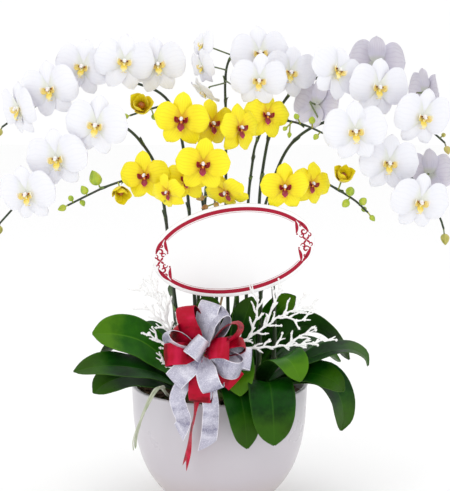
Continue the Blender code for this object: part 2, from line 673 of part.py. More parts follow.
# ---------------------------------------------------------------- twigs
# Each fan: its branches as (path, foot radius, tip radius, number of the
# branch it grows from); the first stands in the bark.
TWIGS = {
    "white_twigs_left": (
        ([(-58, -108, 201.8), (-66, -124, 262), (-75, -134, 320), (-90, -139, 372), (-114, -140, 436)], 3.0, 1.5, None),
        ([(-79, -136, 336), (-100, -141, 362), (-124, -142, 390)], 2.3, 1.3, 0),
        ([(-71, -130, 300), (-94, -139, 322), (-118, -143, 340)], 2.3, 1.3, 0),
        ([(-86, -138, 360), (-84, -139, 386), (-92, -139, 412)], 2.1, 1.2, 0),
        ([(-98, -139, 394), (-118, -141, 408), (-134, -141, 420)], 2.0, 1.2, 0),
        ([(-77, -136, 328), (-67, -137, 352), (-66, -138, 378)], 2.1, 1.2, 0),
        ([(-67, -125, 270), (-86, -135, 286), (-104, -142, 298)], 2.0, 1.2, 0),
    ),
    "white_twigs_right": (
        ([(-12, -104, 201.8), (-22, -132, 250), (-12, -143, 292), (34, -140, 322), (68, -138, 344), (106, -138, 370), (158, -136, 386)], 3.0, 1.5, None),
        ([(48, -137, 330), (60, -138, 362), (64, -138, 404)], 2.2, 1.3, 0),
        ([(76, -138, 349), (88, -138, 384), (102, -138, 420)], 2.2, 1.3, 0),
        ([(22, -135, 308), (62, -140, 314), (108, -142, 318), (150, -142, 322), (174, -142, 330)], 2.5, 1.3, 0),
        ([(104, -138, 369), (128, -140, 360), (150, -140, 362)], 2.0, 1.2, 0),
        ([(122, -137, 377), (134, -138, 394), (140, -138, 408)], 2.0, 1.2, 0),
        ([(110, -142, 319), (132, -142, 334), (158, -142, 344)], 2.0, 1.2, 3),
    ),
}
for name, branches in TWIGS.items():
    pieces, paths = [], []
    for points, foot, tip, parent in branches:
        path = [vec(p) for p in points]
        if parent is not None:
            path[0] = nearest(paths[parent], path[0])[0]
        path = resampled(path, count=len(points) + 2 if parent is None else len(points) + 1)
        paths.append(path)
        bm = bmesh.new()
        last = len(path) - 1
        tube(bm, path, [(foot + (tip - foot) * i / last) * MM for i in range(last + 1)], 4)
        pieces.append(bm)
    joined(name, pieces, "twig")
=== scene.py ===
"""The looks of the moth orchid planter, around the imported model."""

import json
import math
import random

import bpy
import numpy as np
from mathutils import Matrix, Vector

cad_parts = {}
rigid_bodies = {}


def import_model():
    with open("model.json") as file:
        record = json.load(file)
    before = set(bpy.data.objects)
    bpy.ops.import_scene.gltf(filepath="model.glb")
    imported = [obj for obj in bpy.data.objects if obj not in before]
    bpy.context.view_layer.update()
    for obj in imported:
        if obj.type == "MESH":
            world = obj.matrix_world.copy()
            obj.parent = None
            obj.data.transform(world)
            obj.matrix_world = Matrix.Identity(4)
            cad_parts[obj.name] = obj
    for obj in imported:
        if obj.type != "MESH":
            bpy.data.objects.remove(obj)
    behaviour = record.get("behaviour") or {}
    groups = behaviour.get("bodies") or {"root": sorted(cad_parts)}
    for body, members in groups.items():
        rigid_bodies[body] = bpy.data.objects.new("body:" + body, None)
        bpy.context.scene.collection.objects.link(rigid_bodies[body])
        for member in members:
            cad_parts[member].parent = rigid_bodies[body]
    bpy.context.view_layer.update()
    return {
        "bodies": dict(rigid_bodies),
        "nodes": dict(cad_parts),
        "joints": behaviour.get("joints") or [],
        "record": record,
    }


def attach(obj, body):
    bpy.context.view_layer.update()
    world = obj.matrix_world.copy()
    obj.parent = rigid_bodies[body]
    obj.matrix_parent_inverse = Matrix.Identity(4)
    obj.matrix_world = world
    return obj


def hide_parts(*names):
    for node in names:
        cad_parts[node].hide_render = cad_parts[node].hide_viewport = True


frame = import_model()
MM = 0.001
TAU = math.tau


# ================================================================ meshes
class Shape:
    """Collects closed surfaces into one mesh, with a UV for each corner."""

    def __init__(self):
        self.points, self.faces, self.uvs, self.slots = [], [], [], []

    def _verts(self, array):
        start = len(self.points)
        self.points.extend(map(tuple, np.asarray(array, float).reshape(-1, 3)))
        return start

    def face(self, corners, uvs, slot):
        self.faces.append(corners)
        self.uvs.append(uvs)
        self.slots.append(slot)

    def tube(self, rings, slot=0, u=(0.0, 1.0), v=None, caps=True):
        """rings: (n, m, 3), each ring running anticlockwise seen from the far end."""
        n, m, _ = rings.shape
        start = self._verts(rings)
        v = np.linspace(0, 1, n) if v is None else v
        us = np.linspace(u[0], u[1], m + 1)
        for i in range(n - 1):
            for j in range(m):
                k = (j + 1) % m
                a, b = start + i * m + j, start + i * m + k
                self.face((a, b, b + m, a + m), ((us[j], v[i]), (us[j + 1], v[i]), (us[j + 1], v[i + 1]), (us[j], v[i + 1])), slot)
        if caps:
            for end, row, order in ((0, 0, -1), (1, n - 1, 1)):
                centre = self._verts(rings[row].mean(axis=0))
                for j in range(m):
                    k = (j + 1) % m
                    a, b = start + row * m + j, start + row * m + k
                    corners = (a, b, centre) if order > 0 else (b, a, centre)
                    self.face(corners, ((0.5, v[row]),) * 3, slot)

    def sheet(self, grid, thickness, slot=0, u=(0.0, 1.0), v=(0.0, 1.0), back=None, centred=0.5):
        """A closed sheet round a grid of points (n, m, 3); thickness may be an (n, m) array."""
        n, m, _ = grid.shape
        di, dj = np.gradient(grid, axis=0), np.gradient(grid, axis=1)
        normal = np.cross(di, dj)
        normal /= np.maximum(np.linalg.norm(normal, axis=2, keepdims=True), 1e-12)
        t = np.broadcast_to(np.asarray(thickness, float), (n, m))[..., None]
        top = self._verts(grid + normal * t * (1 - centred))
        low = self._verts(grid - normal * t * centred)
        us, vs = np.linspace(u[0], u[1], m), (np.linspace(v[0], v[1], n) if np.ndim(v) == 1 and len(v) == 2 else v)
        back = slot if back is None else back

        def uv(i, j):
            return (us[j], vs[i])

        for i in range(n - 1):
            for j in range(m - 1):
                a, b, c, d = i * m + j, (i + 1) * m + j, (i + 1) * m + j + 1, i * m + j + 1
                w = (uv(i, j), uv(i + 1, j), uv(i + 1, j + 1), uv(i, j + 1))
                self.face((top + a, top + b, top + c, top + d), w, slot)
                self.face((low + d, low + c, low + b, low + a), w[::-1], back)
        for i in range(n - 1):
            a, b = i * m, (i + 1) * m
            self.face((top + b, top + a, low + a, low + b), (uv(i + 1, 0), uv(i, 0), uv(i, 0), uv(i + 1, 0)), slot)
            a, b = a + m - 1, b + m - 1
            self.face((top + a, top + b, low + b, low + a), (uv(i, m - 1), uv(i + 1, m - 1), uv(i + 1, m - 1), uv(i, m - 1)), slot)
        for j in range(m - 1):
            a, b = (n - 1) * m + j, (n - 1) * m + j + 1
            self.face((top + b, top + a, low + a, low + b), (uv(n - 1, j + 1), uv(n - 1, j), uv(n - 1, j), uv(n - 1, j + 1)), slot)
            a, b = j, j + 1
            self.face((top + a, top + b, low + b, low + a), (uv(0, j), uv(0, j + 1), uv(0, j + 1), uv(0, j)), slot)

    def blob(self, centre, radii, slot=0, rows=7, cols=10, turn=None):
        """A small closed ellipsoid."""
        rings = []
        for i in range(rows):
            a = math.pi * (i + 0.5) / rows - math.pi / 2
            rings.append([(radii[0] * math.cos(a) * math.cos(b), radii[1] * math.cos(a) * math.sin(b), radii[2] * math.sin(a))
                          for b in (TAU * k / cols for k in range(cols))])
        rings = np.array(rings)
        if turn is not None:
            rings = rings @ np.array(turn).T
        self.tube(rings + np.array(centre, float), slot)

    def moved(self, matrix):
        m = np.array(matrix)
        pts = np.array(self.points)
        self.points = [tuple(p) for p in pts @ m[:3, :3].T + m[:3, 3]]

    def make(self, name, materials, nodes, slot, sharp=45, body="root"):
        mesh = bpy.data.meshes.new(name)
        mesh.from_pydata(self.points, [], self.faces)
        layer = mesh.uv_layers.new(name="UVMap")
        flat = np.array([c for uv in self.uvs for corner in uv for c in corner], np.float32)
        layer.data.foreach_set("uv", flat)
        for m in materials:
            mesh.materials.append(m)
        mesh.polygons.foreach_set("material_index", np.array(self.slots, np.int32))
        mesh.validate()
        mesh.shade_smooth()
        mesh.set_sharp_from_angle(angle=math.radians(sharp))
        made = bpy.data.objects.new(name, mesh)
        bpy.context.scene.collection.objects.link(made)
        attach(made, body)
        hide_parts(*nodes)
        return made


def vec(point):
    return Vector(point) * MM


def resampled(points, step=None, count=None):
    ends = [points[0] * 2 - points[1], *points, points[-1] * 2 - points[-2]]
    fine = []
    for a, b, c, d in zip(ends, ends[1:], ends[2:], ends[3:]):
        for k in range(16):
            t = k / 16
            fine.append(0.5 * (2 * b + (c - a) * t + (2 * a - 5 * b + 4 * c - d) * t * t + (3 * b - a - 3 * c + d) * t**3))
    fine.append(points[-1].copy())
    along = [0.0]
    for a, b in zip(fine, fine[1:]):
        along.append(along[-1] + (b - a).length)
    if count is None:
        count = max(3, round(along[-1] / step) + 1)
    made, at = [], 0
    for k in range(count):
        target = along[-1] * k / (count - 1)
        while at < len(fine) - 2 and along[at + 1] < target:
            at += 1
        span = along[at + 1] - along[at] or 1.0
        made.append(fine[at].lerp(fine[at + 1], min(1.0, (target - along[at]) / span)))
    return made


def tangents(points):
    last = len(points) - 1
    return [(points[min(i + 1, last)] - points[max(i - 1, 0)]).normalized() for i in range(last + 1)]


def carried(directions, first):
    side = (first - directions[0] * first.dot(directions[0])).normalized()
    sides = [side]
    for before, after in zip(directions, directions[1:]):
        side = before.rotation_difference(after) @ side
        side = (side - after * side.dot(after)).normalized()
        sides.append(side)
    return sides


def nearest(path, point):
    best = None
    for i, (a, b) in enumerate(zip(path, path[1:])):
        way = b - a
        t = max(0.0, min(1.0, (point - a).dot(way) / max(way.length_squared, 1e-12)))
        spot = a + way * t
        if best is None or (spot - point).length < best[0]:
            best = ((spot - point).length, spot, (i + t) / (len(path) - 1))
    return best[1], best[2]


def rings_of(points, radii, sides=10, first=None, profile=None):
    """Rings round a path; radii per point, profile(angle, i) multiplies them."""
    along = tangents(points)
    if first is None:
        first = Vector((0, 1, 0)) if abs(along[0].y) < 0.9 else Vector((1, 0, 0))
    rings = []
    for i, (point, way, side, radius) in enumerate(zip(points, along, carried(along, first), radii)):
        other = way.cross(side)
        row = []
        for k in range(sides):
            a = TAU * k / sides
            r = radius * (profile(a, i) if profile else 1.0)
            row.append(tuple(point + (side * math.cos(a) + other * math.sin(a)) * r))
        rings.append(row)
    return np.array(rings)


# ================================================================ materials
def new_material(name):
    made = bpy.data.materials.new(name)
    made.use_nodes = True
    tree = made.node_tree
    return made, tree, tree.nodes["Principled BSDF"]


def node(tree, kind, links=None, **settings):
    made = tree.nodes.new("ShaderNode" + kind)
    for key, value in settings.items():
        setattr(made, key, value)
    for key, value in (links or {}).items():
        socket = made.inputs[key]
        if isinstance(value, bpy.types.NodeSocket):
            tree.links.new(value, socket)
        else:
            socket.default_value = value
    return made


def math_of(tree, operation, a, b=0.0, c=None, clamp=False):
    made = tree.nodes.new("ShaderNodeMath")
    made.operation, made.use_clamp = operation, clamp
    for k, value in enumerate((a, b, c)):
        if value is None:
            continue
        if isinstance(value, bpy.types.NodeSocket):
            tree.links.new(value, made.inputs[k])
        else:
            made.inputs[k].default_value = value
    return made.outputs[0]


def ramp(tree, factor, stops, interpolation="LINEAR"):
    made = tree.nodes.new("ShaderNodeValToRGB")
    made.color_ramp.interpolation = interpolation
    while len(made.color_ramp.elements) < len(stops):
        made.color_ramp.elements.new(0.5)
    for element, (place, colour) in zip(made.color_ramp.elements, stops):
        element.position = place
        element.color = (*colour, 1.0) if len(colour) == 3 else colour
    tree.links.new(factor, made.inputs[0])
    return made.outputs[0]


def grey(value):
    return (value, value, value)


def mixed(tree, factor, a, b, blend="MIX"):
    made = tree.nodes.new("ShaderNodeMix")
    made.data_type, made.blend_type = "RGBA", blend
    for socket, value in ((made.inputs["Factor"], factor), (made.inputs["A"], a), (made.inputs["B"], b)):
        if isinstance(value, bpy.types.NodeSocket):
            tree.links.new(value, socket)
        elif isinstance(value, tuple):
            socket.default_value = (*value, 1.0)
        else:
            socket.default_value = value
    # the colour sockets are the last of each name
    return made.outputs["Result"]


def mix_rgb(tree, factor, a, b, blend="MIX"):
    """Colour mix through the colour sockets of the Mix node."""
    made = tree.nodes.new("ShaderNodeMix")
    made.data_type, made.blend_type, made.clamp_factor = "RGBA", blend, True
    colour = [s for s in made.inputs if s.type == "RGBA"]
    factor_socket = [s for s in made.inputs if s.type == "VALUE"][0]
    for socket, value in ((factor_socket, factor), (colour[0], a), (colour[1], b)):
        if isinstance(value, bpy.types.NodeSocket):
            tree.links.new(value, socket)
        elif isinstance(value, tuple):
            socket.default_value = (*value, 1.0)
        else:
            socket.default_value = value
    return [s for s in made.outputs if s.type == "RGBA"][0]


def uv_of(tree):
    uv = node(tree, "UVMap", uv_map="UVMap")
    split = node(tree, "SeparateXYZ", {"Vector": uv.outputs[0]})
    return uv.outputs[0], split.outputs[0], split.outputs[1]


def object_noise(tree, scale, detail=3.0, rough=0.5, stretch=None):
    coord = node(tree, "TexCoord").outputs["Object"]
    if stretch:
        coord = node(tree, "Mapping", {"Vector": coord, "Scale": stretch}).outputs[0]
    return node(tree, "TexNoise", {"Vector": coord, "Scale": scale, "Detail": detail, "Roughness": rough}).outputs[0]


def bump(tree, shader, height, strength, distance):
    made = node(tree, "Bump", {"Height": height, "Strength": strength, "Distance": distance})
    tree.links.new(made.outputs[0], shader.inputs["Normal"])


def petal(name, edge, middle, base, vein, vein_share, subsurface=0.25, rough=0.48):
    """A petal: colour from the throat to the rim, veins that fan out from the base."""
    made, tree, shader = new_material(name)
    uv, u, v = uv_of(tree)
    wobble = node(tree, "TexNoise", {"Vector": uv, "Scale": 3.5, "Detail": 2.0}).outputs[0]
    across = math_of(tree, "MULTIPLY_ADD", wobble, 0.10, u)
    vein_vector = node(tree, "CombineXYZ", {"X": across, "Y": 0.0, "Z": 0.0}).outputs[0]
    lines = node(tree, "TexWave", {"Vector": vein_vector, "Scale": 3.4, "Distortion": 0.6, "Detail": 1.5, "Detail Scale": 3.0},
                 wave_type="BANDS", bands_direction="X").outputs[1]
    thin = ramp(tree, lines, ((0.0, grey(1)), (0.22, grey(0.15)), (0.5, grey(0)), (1.0, grey(0))))
    body = ramp(tree, v, ((0.0, base), (0.10, base), (0.34, middle), (0.80, edge), (1.0, edge)), "EASE")
    blotch = object_noise(tree, 55.0, 3.0)
    body = mix_rgb(tree, math_of(tree, "MULTIPLY", blotch, 0.22), body, middle)
    veined = mix_rgb(tree, math_of(tree, "MULTIPLY", thin, vein_share), body, vein)
    tree.links.new(veined, shader.inputs["Base Color"])
    cells = node(tree, "TexVoronoi", {"Vector": node(tree, "TexCoord").outputs["Object"], "Scale": 1400.0}).outputs["Distance"]
    height = math_of(tree, "MULTIPLY_ADD", thin, -0.8, math_of(tree, "MULTIPLY", cells, 0.35))
    bump(tree, shader, height, 0.35, 0.0003)
    tree.links.new(math_of(tree, "MULTIPLY_ADD", blotch, 0.18, rough - 0.08), shader.inputs["Roughness"])
    shader.inputs["Subsurface Weight"].default_value = subsurface
    shader.inputs["Subsurface Radius"].default_value = (1.0, 0.85, 0.75)
    shader.inputs["Subsurface Scale"].default_value = 0.004
    shader.inputs["Sheen Weight"].default_value = 0.12
    shader.inputs["Specular IOR Level"].default_value = 0.35
    return made


def spotted(name, ground, rim, spot, spot_scale, spot_edge, rough=0.4, coat=0.15):
    """A lip's fleshy lobe with a speckled throat."""
    made, tree, shader = new_material(name)
    uv, u, v = uv_of(tree)
    body = ramp(tree, v, ((0.0, ground), (0.5, ground), (1.0, rim)), "EASE")
    dots = node(tree, "TexVoronoi", {"Vector": node(tree, "TexCoord").outputs["Object"], "Scale": spot_scale}).outputs["Distance"]
    shown = ramp(tree, dots, ((0.0, grey(1)), (spot_edge, grey(0.85)), (spot_edge + 0.12, grey(0)), (1.0, grey(0))))
    fade = ramp(tree, v, ((0.0, grey(1)), (0.55, grey(0.8)), (0.8, grey(0))))
    factor = math_of(tree, "MULTIPLY", shown, fade)
    tree.links.new(mix_rgb(tree, factor, body, spot), shader.inputs["Base Color"])
    grain = object_noise(tree, 900.0, 2.0)
    bump(tree, shader, grain, 0.3, 0.0003)
    tree.links.new(math_of(tree, "MULTIPLY_ADD", grain, 0.2, rough - 0.1), shader.inputs["Roughness"])
    shader.inputs["Coat Weight"].default_value = coat
    shader.inputs["Subsurface Weight"].default_value = 0.1
    shader.inputs["Subsurface Scale"].default_value = 0.002
    return made


def living(name, dark, light, patch, scale=60.0, rough=0.42, coat=0.1, streak=(1, 1, 0.25)):
    """Stems, buds, roots: two greens with a patchy blush, running along Z."""
    made, tree, shader = new_material(name)
    broad = object_noise(tree, scale, 4.0, 0.55, streak)
    fine = object_noise(tree, scale * 14, 3.0, 0.5, streak)
    body = ramp(tree, broad, ((0.30, dark), (0.52, light), (0.70, patch)))
    body = mix_rgb(tree, math_of(tree, "MULTIPLY", fine, 0.35), body, dark)
    tree.links.new(body, shader.inputs["Base Color"])
    tree.links.new(math_of(tree, "MULTIPLY_ADD", fine, 0.22, rough - 0.1), shader.inputs["Roughness"])
    bump(tree, shader, fine, 0.25, 0.0004)
    shader.inputs["Coat Weight"].default_value = coat
    return made


def leaf_material(name, deep, lit, rib, tip, tip_share):
    made, tree, shader = new_material(name)
    uv, u, v = uv_of(tree)
    off = math_of(tree, "ABSOLUTE", math_of(tree, "SUBTRACT", u, 0.5))
    broad = object_noise(tree, 22.0, 4.0, 0.6)
    body = ramp(tree, broad, ((0.34, deep), (0.62, lit)))
    # fine parallel veins that follow the blade
    lines = node(tree, "TexWave", {"Vector": node(tree, "CombineXYZ", {"X": u, "Y": math_of(tree, "MULTIPLY", v, 0.02), "Z": 0.0}).outputs[0],
                                   "Scale": 9.0, "Distortion": 0.5, "Detail": 2.0}, wave_type="BANDS", bands_direction="X").outputs[1]
    body = mix_rgb(tree, math_of(tree, "MULTIPLY", lines, 0.12), body, lit)
    midrib = ramp(tree, off, ((0.0, grey(1)), (0.008, grey(0.75)), (0.026, grey(0)), (1.0, grey(0))))
    body = mix_rgb(tree, math_of(tree, "MULTIPLY", midrib, 0.55), body, rib)
    margin = ramp(tree, off, ((0.0, grey(0)), (0.455, grey(0)), (0.5, grey(1))))
    body = mix_rgb(tree, math_of(tree, "MULTIPLY", margin, 0.45), body, rib)
    end = math_of(tree, "MULTIPLY_ADD", broad, 0.30, v)
    tipped = ramp(tree, end, ((0.0, grey(0)), (0.86, grey(0)), (1.12, grey(1))))
    body = mix_rgb(tree, math_of(tree, "MULTIPLY", tipped, tip_share), body, tip)
    tree.links.new(body, shader.inputs["Base Color"])
    pits = object_noise(tree, 1100.0, 2.0)
    smear = object_noise(tree, 34.0, 3.0)
    tree.links.new(math_of(tree, "MULTIPLY_ADD", smear, 0.26, 0.20), shader.inputs["Roughness"])
    height = math_of(tree, "ADD", math_of(tree, "MULTIPLY", lines, 0.5), math_of(tree, "MULTIPLY", pits, 0.3))
    height = math_of(tree, "MULTIPLY_ADD", midrib, -1.4, height)
    bump(tree, shader, height, 0.35, 0.0006)
    shader.inputs["Coat Weight"].default_value = 0.015
    shader.inputs["Coat Roughness"].default_value = 0.15
    shader.inputs["Specular IOR Level"].default_value = 0.11
    return made


# the white petals darken a little to a greyer lilac toward the middle: painted shade near the flower's centre; the
# greenish throat is their own colour
WHITE = petal("petal_white", (0.875, 0.878, 0.925), (0.835, 0.838, 0.895), (0.78, 0.80, 0.70), (0.74, 0.735, 0.82), 0.16, 0.15)
# the backs of the white petals, a darker lilac copy of the front: painted shade
WHITE_BACK_SHADED = petal("petal_white_back_painted_shade", (0.74, 0.715, 0.80), (0.62, 0.595, 0.70), (0.52, 0.54, 0.46), (0.52, 0.46, 0.60), 0.28, 0.15)
YELLOW = petal("petal_yellow", (0.97, 0.86, 0.008), (0.93, 0.76, 0.004), (0.70, 0.38, 0.006), (0.72, 0.50, 0.003), 0.26, 0.03, 0.42)
# the backs of the yellow tepals, a darker copy of the front: partly their own greener colour, partly painted shade
YELLOW_BACK_SHADED = petal("petal_yellow_back_painted_shade", (0.86, 0.72, 0.008), (0.78, 0.56, 0.008), (0.42, 0.36, 0.02), (0.50, 0.24, 0.01), 0.35, 0.05, 0.45)
LIP_GOLD = spotted("lip_gold", (0.90, 0.70, 0.10), (0.94, 0.86, 0.50), (0.46, 0.12, 0.02), 620.0, 0.20)
LIP_TIP = spotted("lip_white_tip", (0.90, 0.72, 0.20), (0.92, 0.90, 0.84), (0.46, 0.12, 0.03), 620.0, 0.22)
# dark brown standing in for the shade in the throat: painted shade
LIP_BROWN_SHADE = spotted("lip_brown_painted_shade", (0.42, 0.11, 0.01), (0.16, 0.03, 0.008), (0.08, 0.01, 0.004), 900.0, 0.3, 0.45)
LIP_CRIMSON = spotted("lip_crimson", (0.24, 0.002, 0.006), (0.34, 0.003, 0.014), (0.80, 0.26, 0.02), 700.0, 0.16, 0.35, 0.12)
LIP_MAGENTA = spotted("lip_magenta", (0.27, 0.003, 0.010), (0.42, 0.016, 0.085), (0.70, 0.22, 0.06), 900.0, 0.08, 0.35, 0.12)
LIP_ORANGE = spotted("lip_orange", (0.85, 0.24, 0.012), (0.85, 0.36, 0.05), (0.40, 0.01, 0.01), 900.0, 0.22, 0.4, 0.2)
COLUMN = spotted("column_white", (0.86, 0.84, 0.82), (0.90, 0.88, 0.88), (0.72, 0.40, 0.50), 900.0, 0.05, 0.35, 0.2)
STEM = living("stem_green", (0.012, 0.020, 0.008), (0.028, 0.058, 0.014), (0.034, 0.024, 0.018), 60.0)
PEDICEL = living("pedicel_green", (0.06, 0.085, 0.035), (0.20, 0.26, 0.10), (0.22, 0.16, 0.15), 90.0)
BRACT = living("bract_green", (0.05, 0.10, 0.02), (0.16, 0.25, 0.05), (0.10, 0.07, 0.04), 120.0)
BUD_GREEN = living("bud_green", (0.20, 0.34, 0.02), (0.46, 0.58, 0.03), (0.62, 0.62, 0.06), 110.0, 0.36, 0.2)
BUD_OLIVE = living("bud_olive", (0.30, 0.30, 0.05), (0.58, 0.52, 0.12), (0.62, 0.42, 0.22), 110.0, 0.36, 0.2)
BUD_TAN = living("bud_tan", (0.26, 0.05, 0.02), (0.56, 0.34, 0.10), (0.66, 0.50, 0.16), 110.0, 0.36, 0.2)
ROOT = living("aerial_root", (0.30, 0.36, 0.22), (0.62, 0.64, 0.52), (0.74, 0.74, 0.68), 45.0, 0.7, 0.0)
LEAF = leaf_material("leaf_top", (0.0012, 0.016, 0.0010), (0.0045, 0.058, 0.0014), (0.028, 0.110, 0.006), (0.060, 0.15, 0.004), 0.40)
# a lighter copy of the leaf material for the blades that catch the light: painted light
LEAF_LIT = leaf_material("leaf_painted_lit", (0.010, 0.082, 0.0014), (0.022, 0.135, 0.002), (0.085, 0.25, 0.012), (0.10, 0.24, 0.005), 0.60)
LEAF_UNDER = leaf_material("leaf_under", (0.007, 0.038, 0.004), (0.018, 0.078, 0.008), (0.055, 0.13, 0.018), (0.08, 0.14, 0.010), 0.3)


def glaze_material():
    made, tree, shader = new_material("bowl_glaze")
    height = node(tree, "SeparateXYZ", {"Vector": node(tree, "TexCoord").outputs["Object"]}).outputs[2]
    cloud = object_noise(tree, 9.0, 4.0, 0.55)
    level = math_of(tree, "MULTIPLY_ADD", cloud, 0.03, height)
    # colour by height: the glaze's own lilac grey near the rim, with painted shade and a warm painted reflection
    # darkening it toward the foot
    body = ramp(tree, math_of(tree, "MULTIPLY", level, 5.0), ((0.0, (0.50, 0.415, 0.385)), (0.22, (0.545, 0.475, 0.465)), (0.50, (0.575, 0.535, 0.575)), (1.0, (0.59, 0.565, 0.61))))
    speck = node(tree, "TexVoronoi", {"Vector": node(tree, "TexCoord").outputs["Object"], "Scale": 190.0}).outputs["Distance"]
    dots = ramp(tree, speck, ((0.0, grey(1)), (0.035, grey(0.5)), (0.06, grey(0)), (1.0, grey(0))))
    body = mix_rgb(tree, math_of(tree, "MULTIPLY", dots, 0.04), body, (0.42, 0.37, 0.36))
    tree.links.new(body, shader.inputs["Base Color"])
    orange_peel = object_noise(tree, 160.0, 2.0)
    tree.links.new(math_of(tree, "MULTIPLY_ADD", cloud, 0.20, 0.20), shader.inputs["Roughness"])
    bump(tree, shader, math_of(tree, "MULTIPLY_ADD", cloud, 0.6, math_of(tree, "MULTIPLY", orange_peel, 0.25)), 0.12, 0.001)
    shader.inputs["Coat Weight"].default_value = 0.22
    shader.inputs["Coat Roughness"].default_value = 0.16
    return made


def bark_material(name, dark, mid, pale):
    made, tree, shader = new_material(name)
    broad = object_noise(tree, 90.0, 5.0, 0.6)
    fibre = object_noise(tree, 420.0, 4.0, 0.6, (1, 0.25, 1))
    body = ramp(tree, broad, ((0.30, dark), (0.52, mid), (0.74, pale)))
    body = mix_rgb(tree, math_of(tree, "MULTIPLY", fibre, 0.5), body, dark)
    tree.links.new(body, shader.inputs["Base Color"])
    tree.links.new(math_of(tree, "MULTIPLY_ADD", fibre, 0.3, 0.62), shader.inputs["Roughness"])
    bump(tree, shader, math_of(tree, "ADD", fibre, broad), 0.7, 0.0012)
    return made


def ribbon_material(name, colour, shade, painted_highlight, selvedge, metallic, rough, glitter_glints, gloss=0.25):
    """Woven ribbon. U runs across and V along, both in metres from one edge."""
    made, tree, shader = new_material(name)
    uv, u, v = uv_of(tree)
    warp = math_of(tree, "SINE", math_of(tree, "MULTIPLY", u, TAU / 0.0007))
    weft = math_of(tree, "SINE", math_of(tree, "MULTIPLY", v, TAU / 0.0009))
    weave = math_of(tree, "MULTIPLY", warp, weft)
    cloud = node(tree, "TexNoise", {"Vector": uv, "Scale": 60.0, "Detail": 3.0}).outputs[0]
    # painted highlight and shade: soft bands that run across the ribbon, lighter where satin and lame would catch the
    # light and darker between
    bands = node(tree, "TexNoise", {"Vector": node(tree, "CombineXYZ", {"X": math_of(tree, "MULTIPLY", u, 0.22), "Y": v, "Z": 0.0}).outputs[0],
                                    "Scale": 46.0, "Detail": 2.0, "Roughness": 0.5}).outputs[0]
    sheen_and_shade = math_of(tree, "MULTIPLY_ADD", cloud, 0.25, math_of(tree, "MULTIPLY_ADD", bands, 0.75, 0.0))
    body = ramp(tree, sheen_and_shade, ((0.36, shade), (0.50, colour), (0.66, painted_highlight)), "EASE")
    off = math_of(tree, "ABSOLUTE", math_of(tree, "SUBTRACT", u, RIBBON / 2))
    edge = ramp(tree, math_of(tree, "DIVIDE", off, RIBBON / 2), ((0.0, grey(0)), (0.915, grey(0)), (0.935, grey(1)), (1.0, grey(1))))
    body = mix_rgb(tree, math_of(tree, "MULTIPLY", edge, 0.75), body, selvedge)
    if glitter_glints:
        # the lame's glitter flecks, painted as glints: the lightest pushed to near white, the darkest to the painted
        # shade colour
        cells = node(tree, "TexVoronoi", {"Vector": uv, "Scale": 900.0})
        spark = node(tree, "SeparateXYZ", {"Vector": cells.outputs["Color"]}).outputs[0]
        body = mix_rgb(tree, math_of(tree, "MULTIPLY", ramp(tree, spark, ((0.0, grey(0)), (0.62, grey(0)), (1.0, grey(1)))), glitter_glints), body, (0.95, 0.94, 1.0))
        dark = ramp(tree, spark, ((0.0, grey(1)), (0.22, grey(0)), (1.0, grey(0))))
        body = mix_rgb(tree, math_of(tree, "MULTIPLY", dark, 0.35), body, shade)
        tree.links.new(math_of(tree, "MULTIPLY_ADD", spark, -0.30, rough + 0.15), shader.inputs["Roughness"])
        weave = math_of(tree, "ADD", weave, math_of(tree, "MULTIPLY", spark, 1.6))
    else:
        tree.links.new(math_of(tree, "MULTIPLY_ADD", cloud, 0.14, rough - 0.05), shader.inputs["Roughness"])
    tree.links.new(body, shader.inputs["Base Color"])
    bump(tree, shader, weave, 0.30, 0.00025)
    shader.inputs["Metallic"].default_value = metallic
    shader.inputs["Specular IOR Level"].default_value = gloss
    return made


RIBBON = 0.035
GLAZE = glaze_material()
BARK = bark_material("bark_chip", (0.030, 0.015, 0.008), (0.105, 0.052, 0.026), (0.22, 0.13, 0.07))
MOSS = bark_material("moss_tuft", (0.030, 0.050, 0.010), (0.085, 0.120, 0.022), (0.17, 0.19, 0.05))
SOIL = bark_material("bark_bed", (0.018, 0.010, 0.006), (0.055, 0.030, 0.016), (0.10, 0.06, 0.03))
RED = ribbon_material("ribbon_crimson", (0.43, 0.002, 0.022), (0.17, 0.0005, 0.006), (0.60, 0.012, 0.060), (0.50, 0.006, 0.040), 0.0, 0.34, 0.0, 0.13)
SILVER = ribbon_material("ribbon_silver", (0.50, 0.49, 0.60), (0.27, 0.26, 0.37), (0.72, 0.71, 0.80), (0.90, 0.88, 0.94), 0.30, 0.42, 0.45)
# the wrong side of the ribbon: partly its duller back, mostly painted shade for the insides of the loops
RED_WRONG_SIDE_SHADED = ribbon_material("ribbon_crimson_wrong_side_painted_shade", (0.13, 0.001, 0.008), (0.05, 0.0005, 0.003), (0.22, 0.003, 0.015), (0.28, 0.004, 0.020), 0.0, 0.50, 0.0, 0.10)
SILVER_WRONG_SIDE_SHADED = ribbon_material("ribbon_silver_wrong_side_painted_shade", (0.40, 0.39, 0.49), (0.22, 0.21, 0.30), (0.52, 0.51, 0.60), (0.80, 0.78, 0.84), 0.25, 0.50, 0.30, 0.2)
TWIG = bark_material("twig_paint", (0.86, 0.86, 0.85), (0.95, 0.95, 0.945), (0.97, 0.97, 0.97))
STAKE = bark_material("stake_wood", (0.20, 0.12, 0.06), (0.40, 0.27, 0.14), (0.50, 0.36, 0.20))


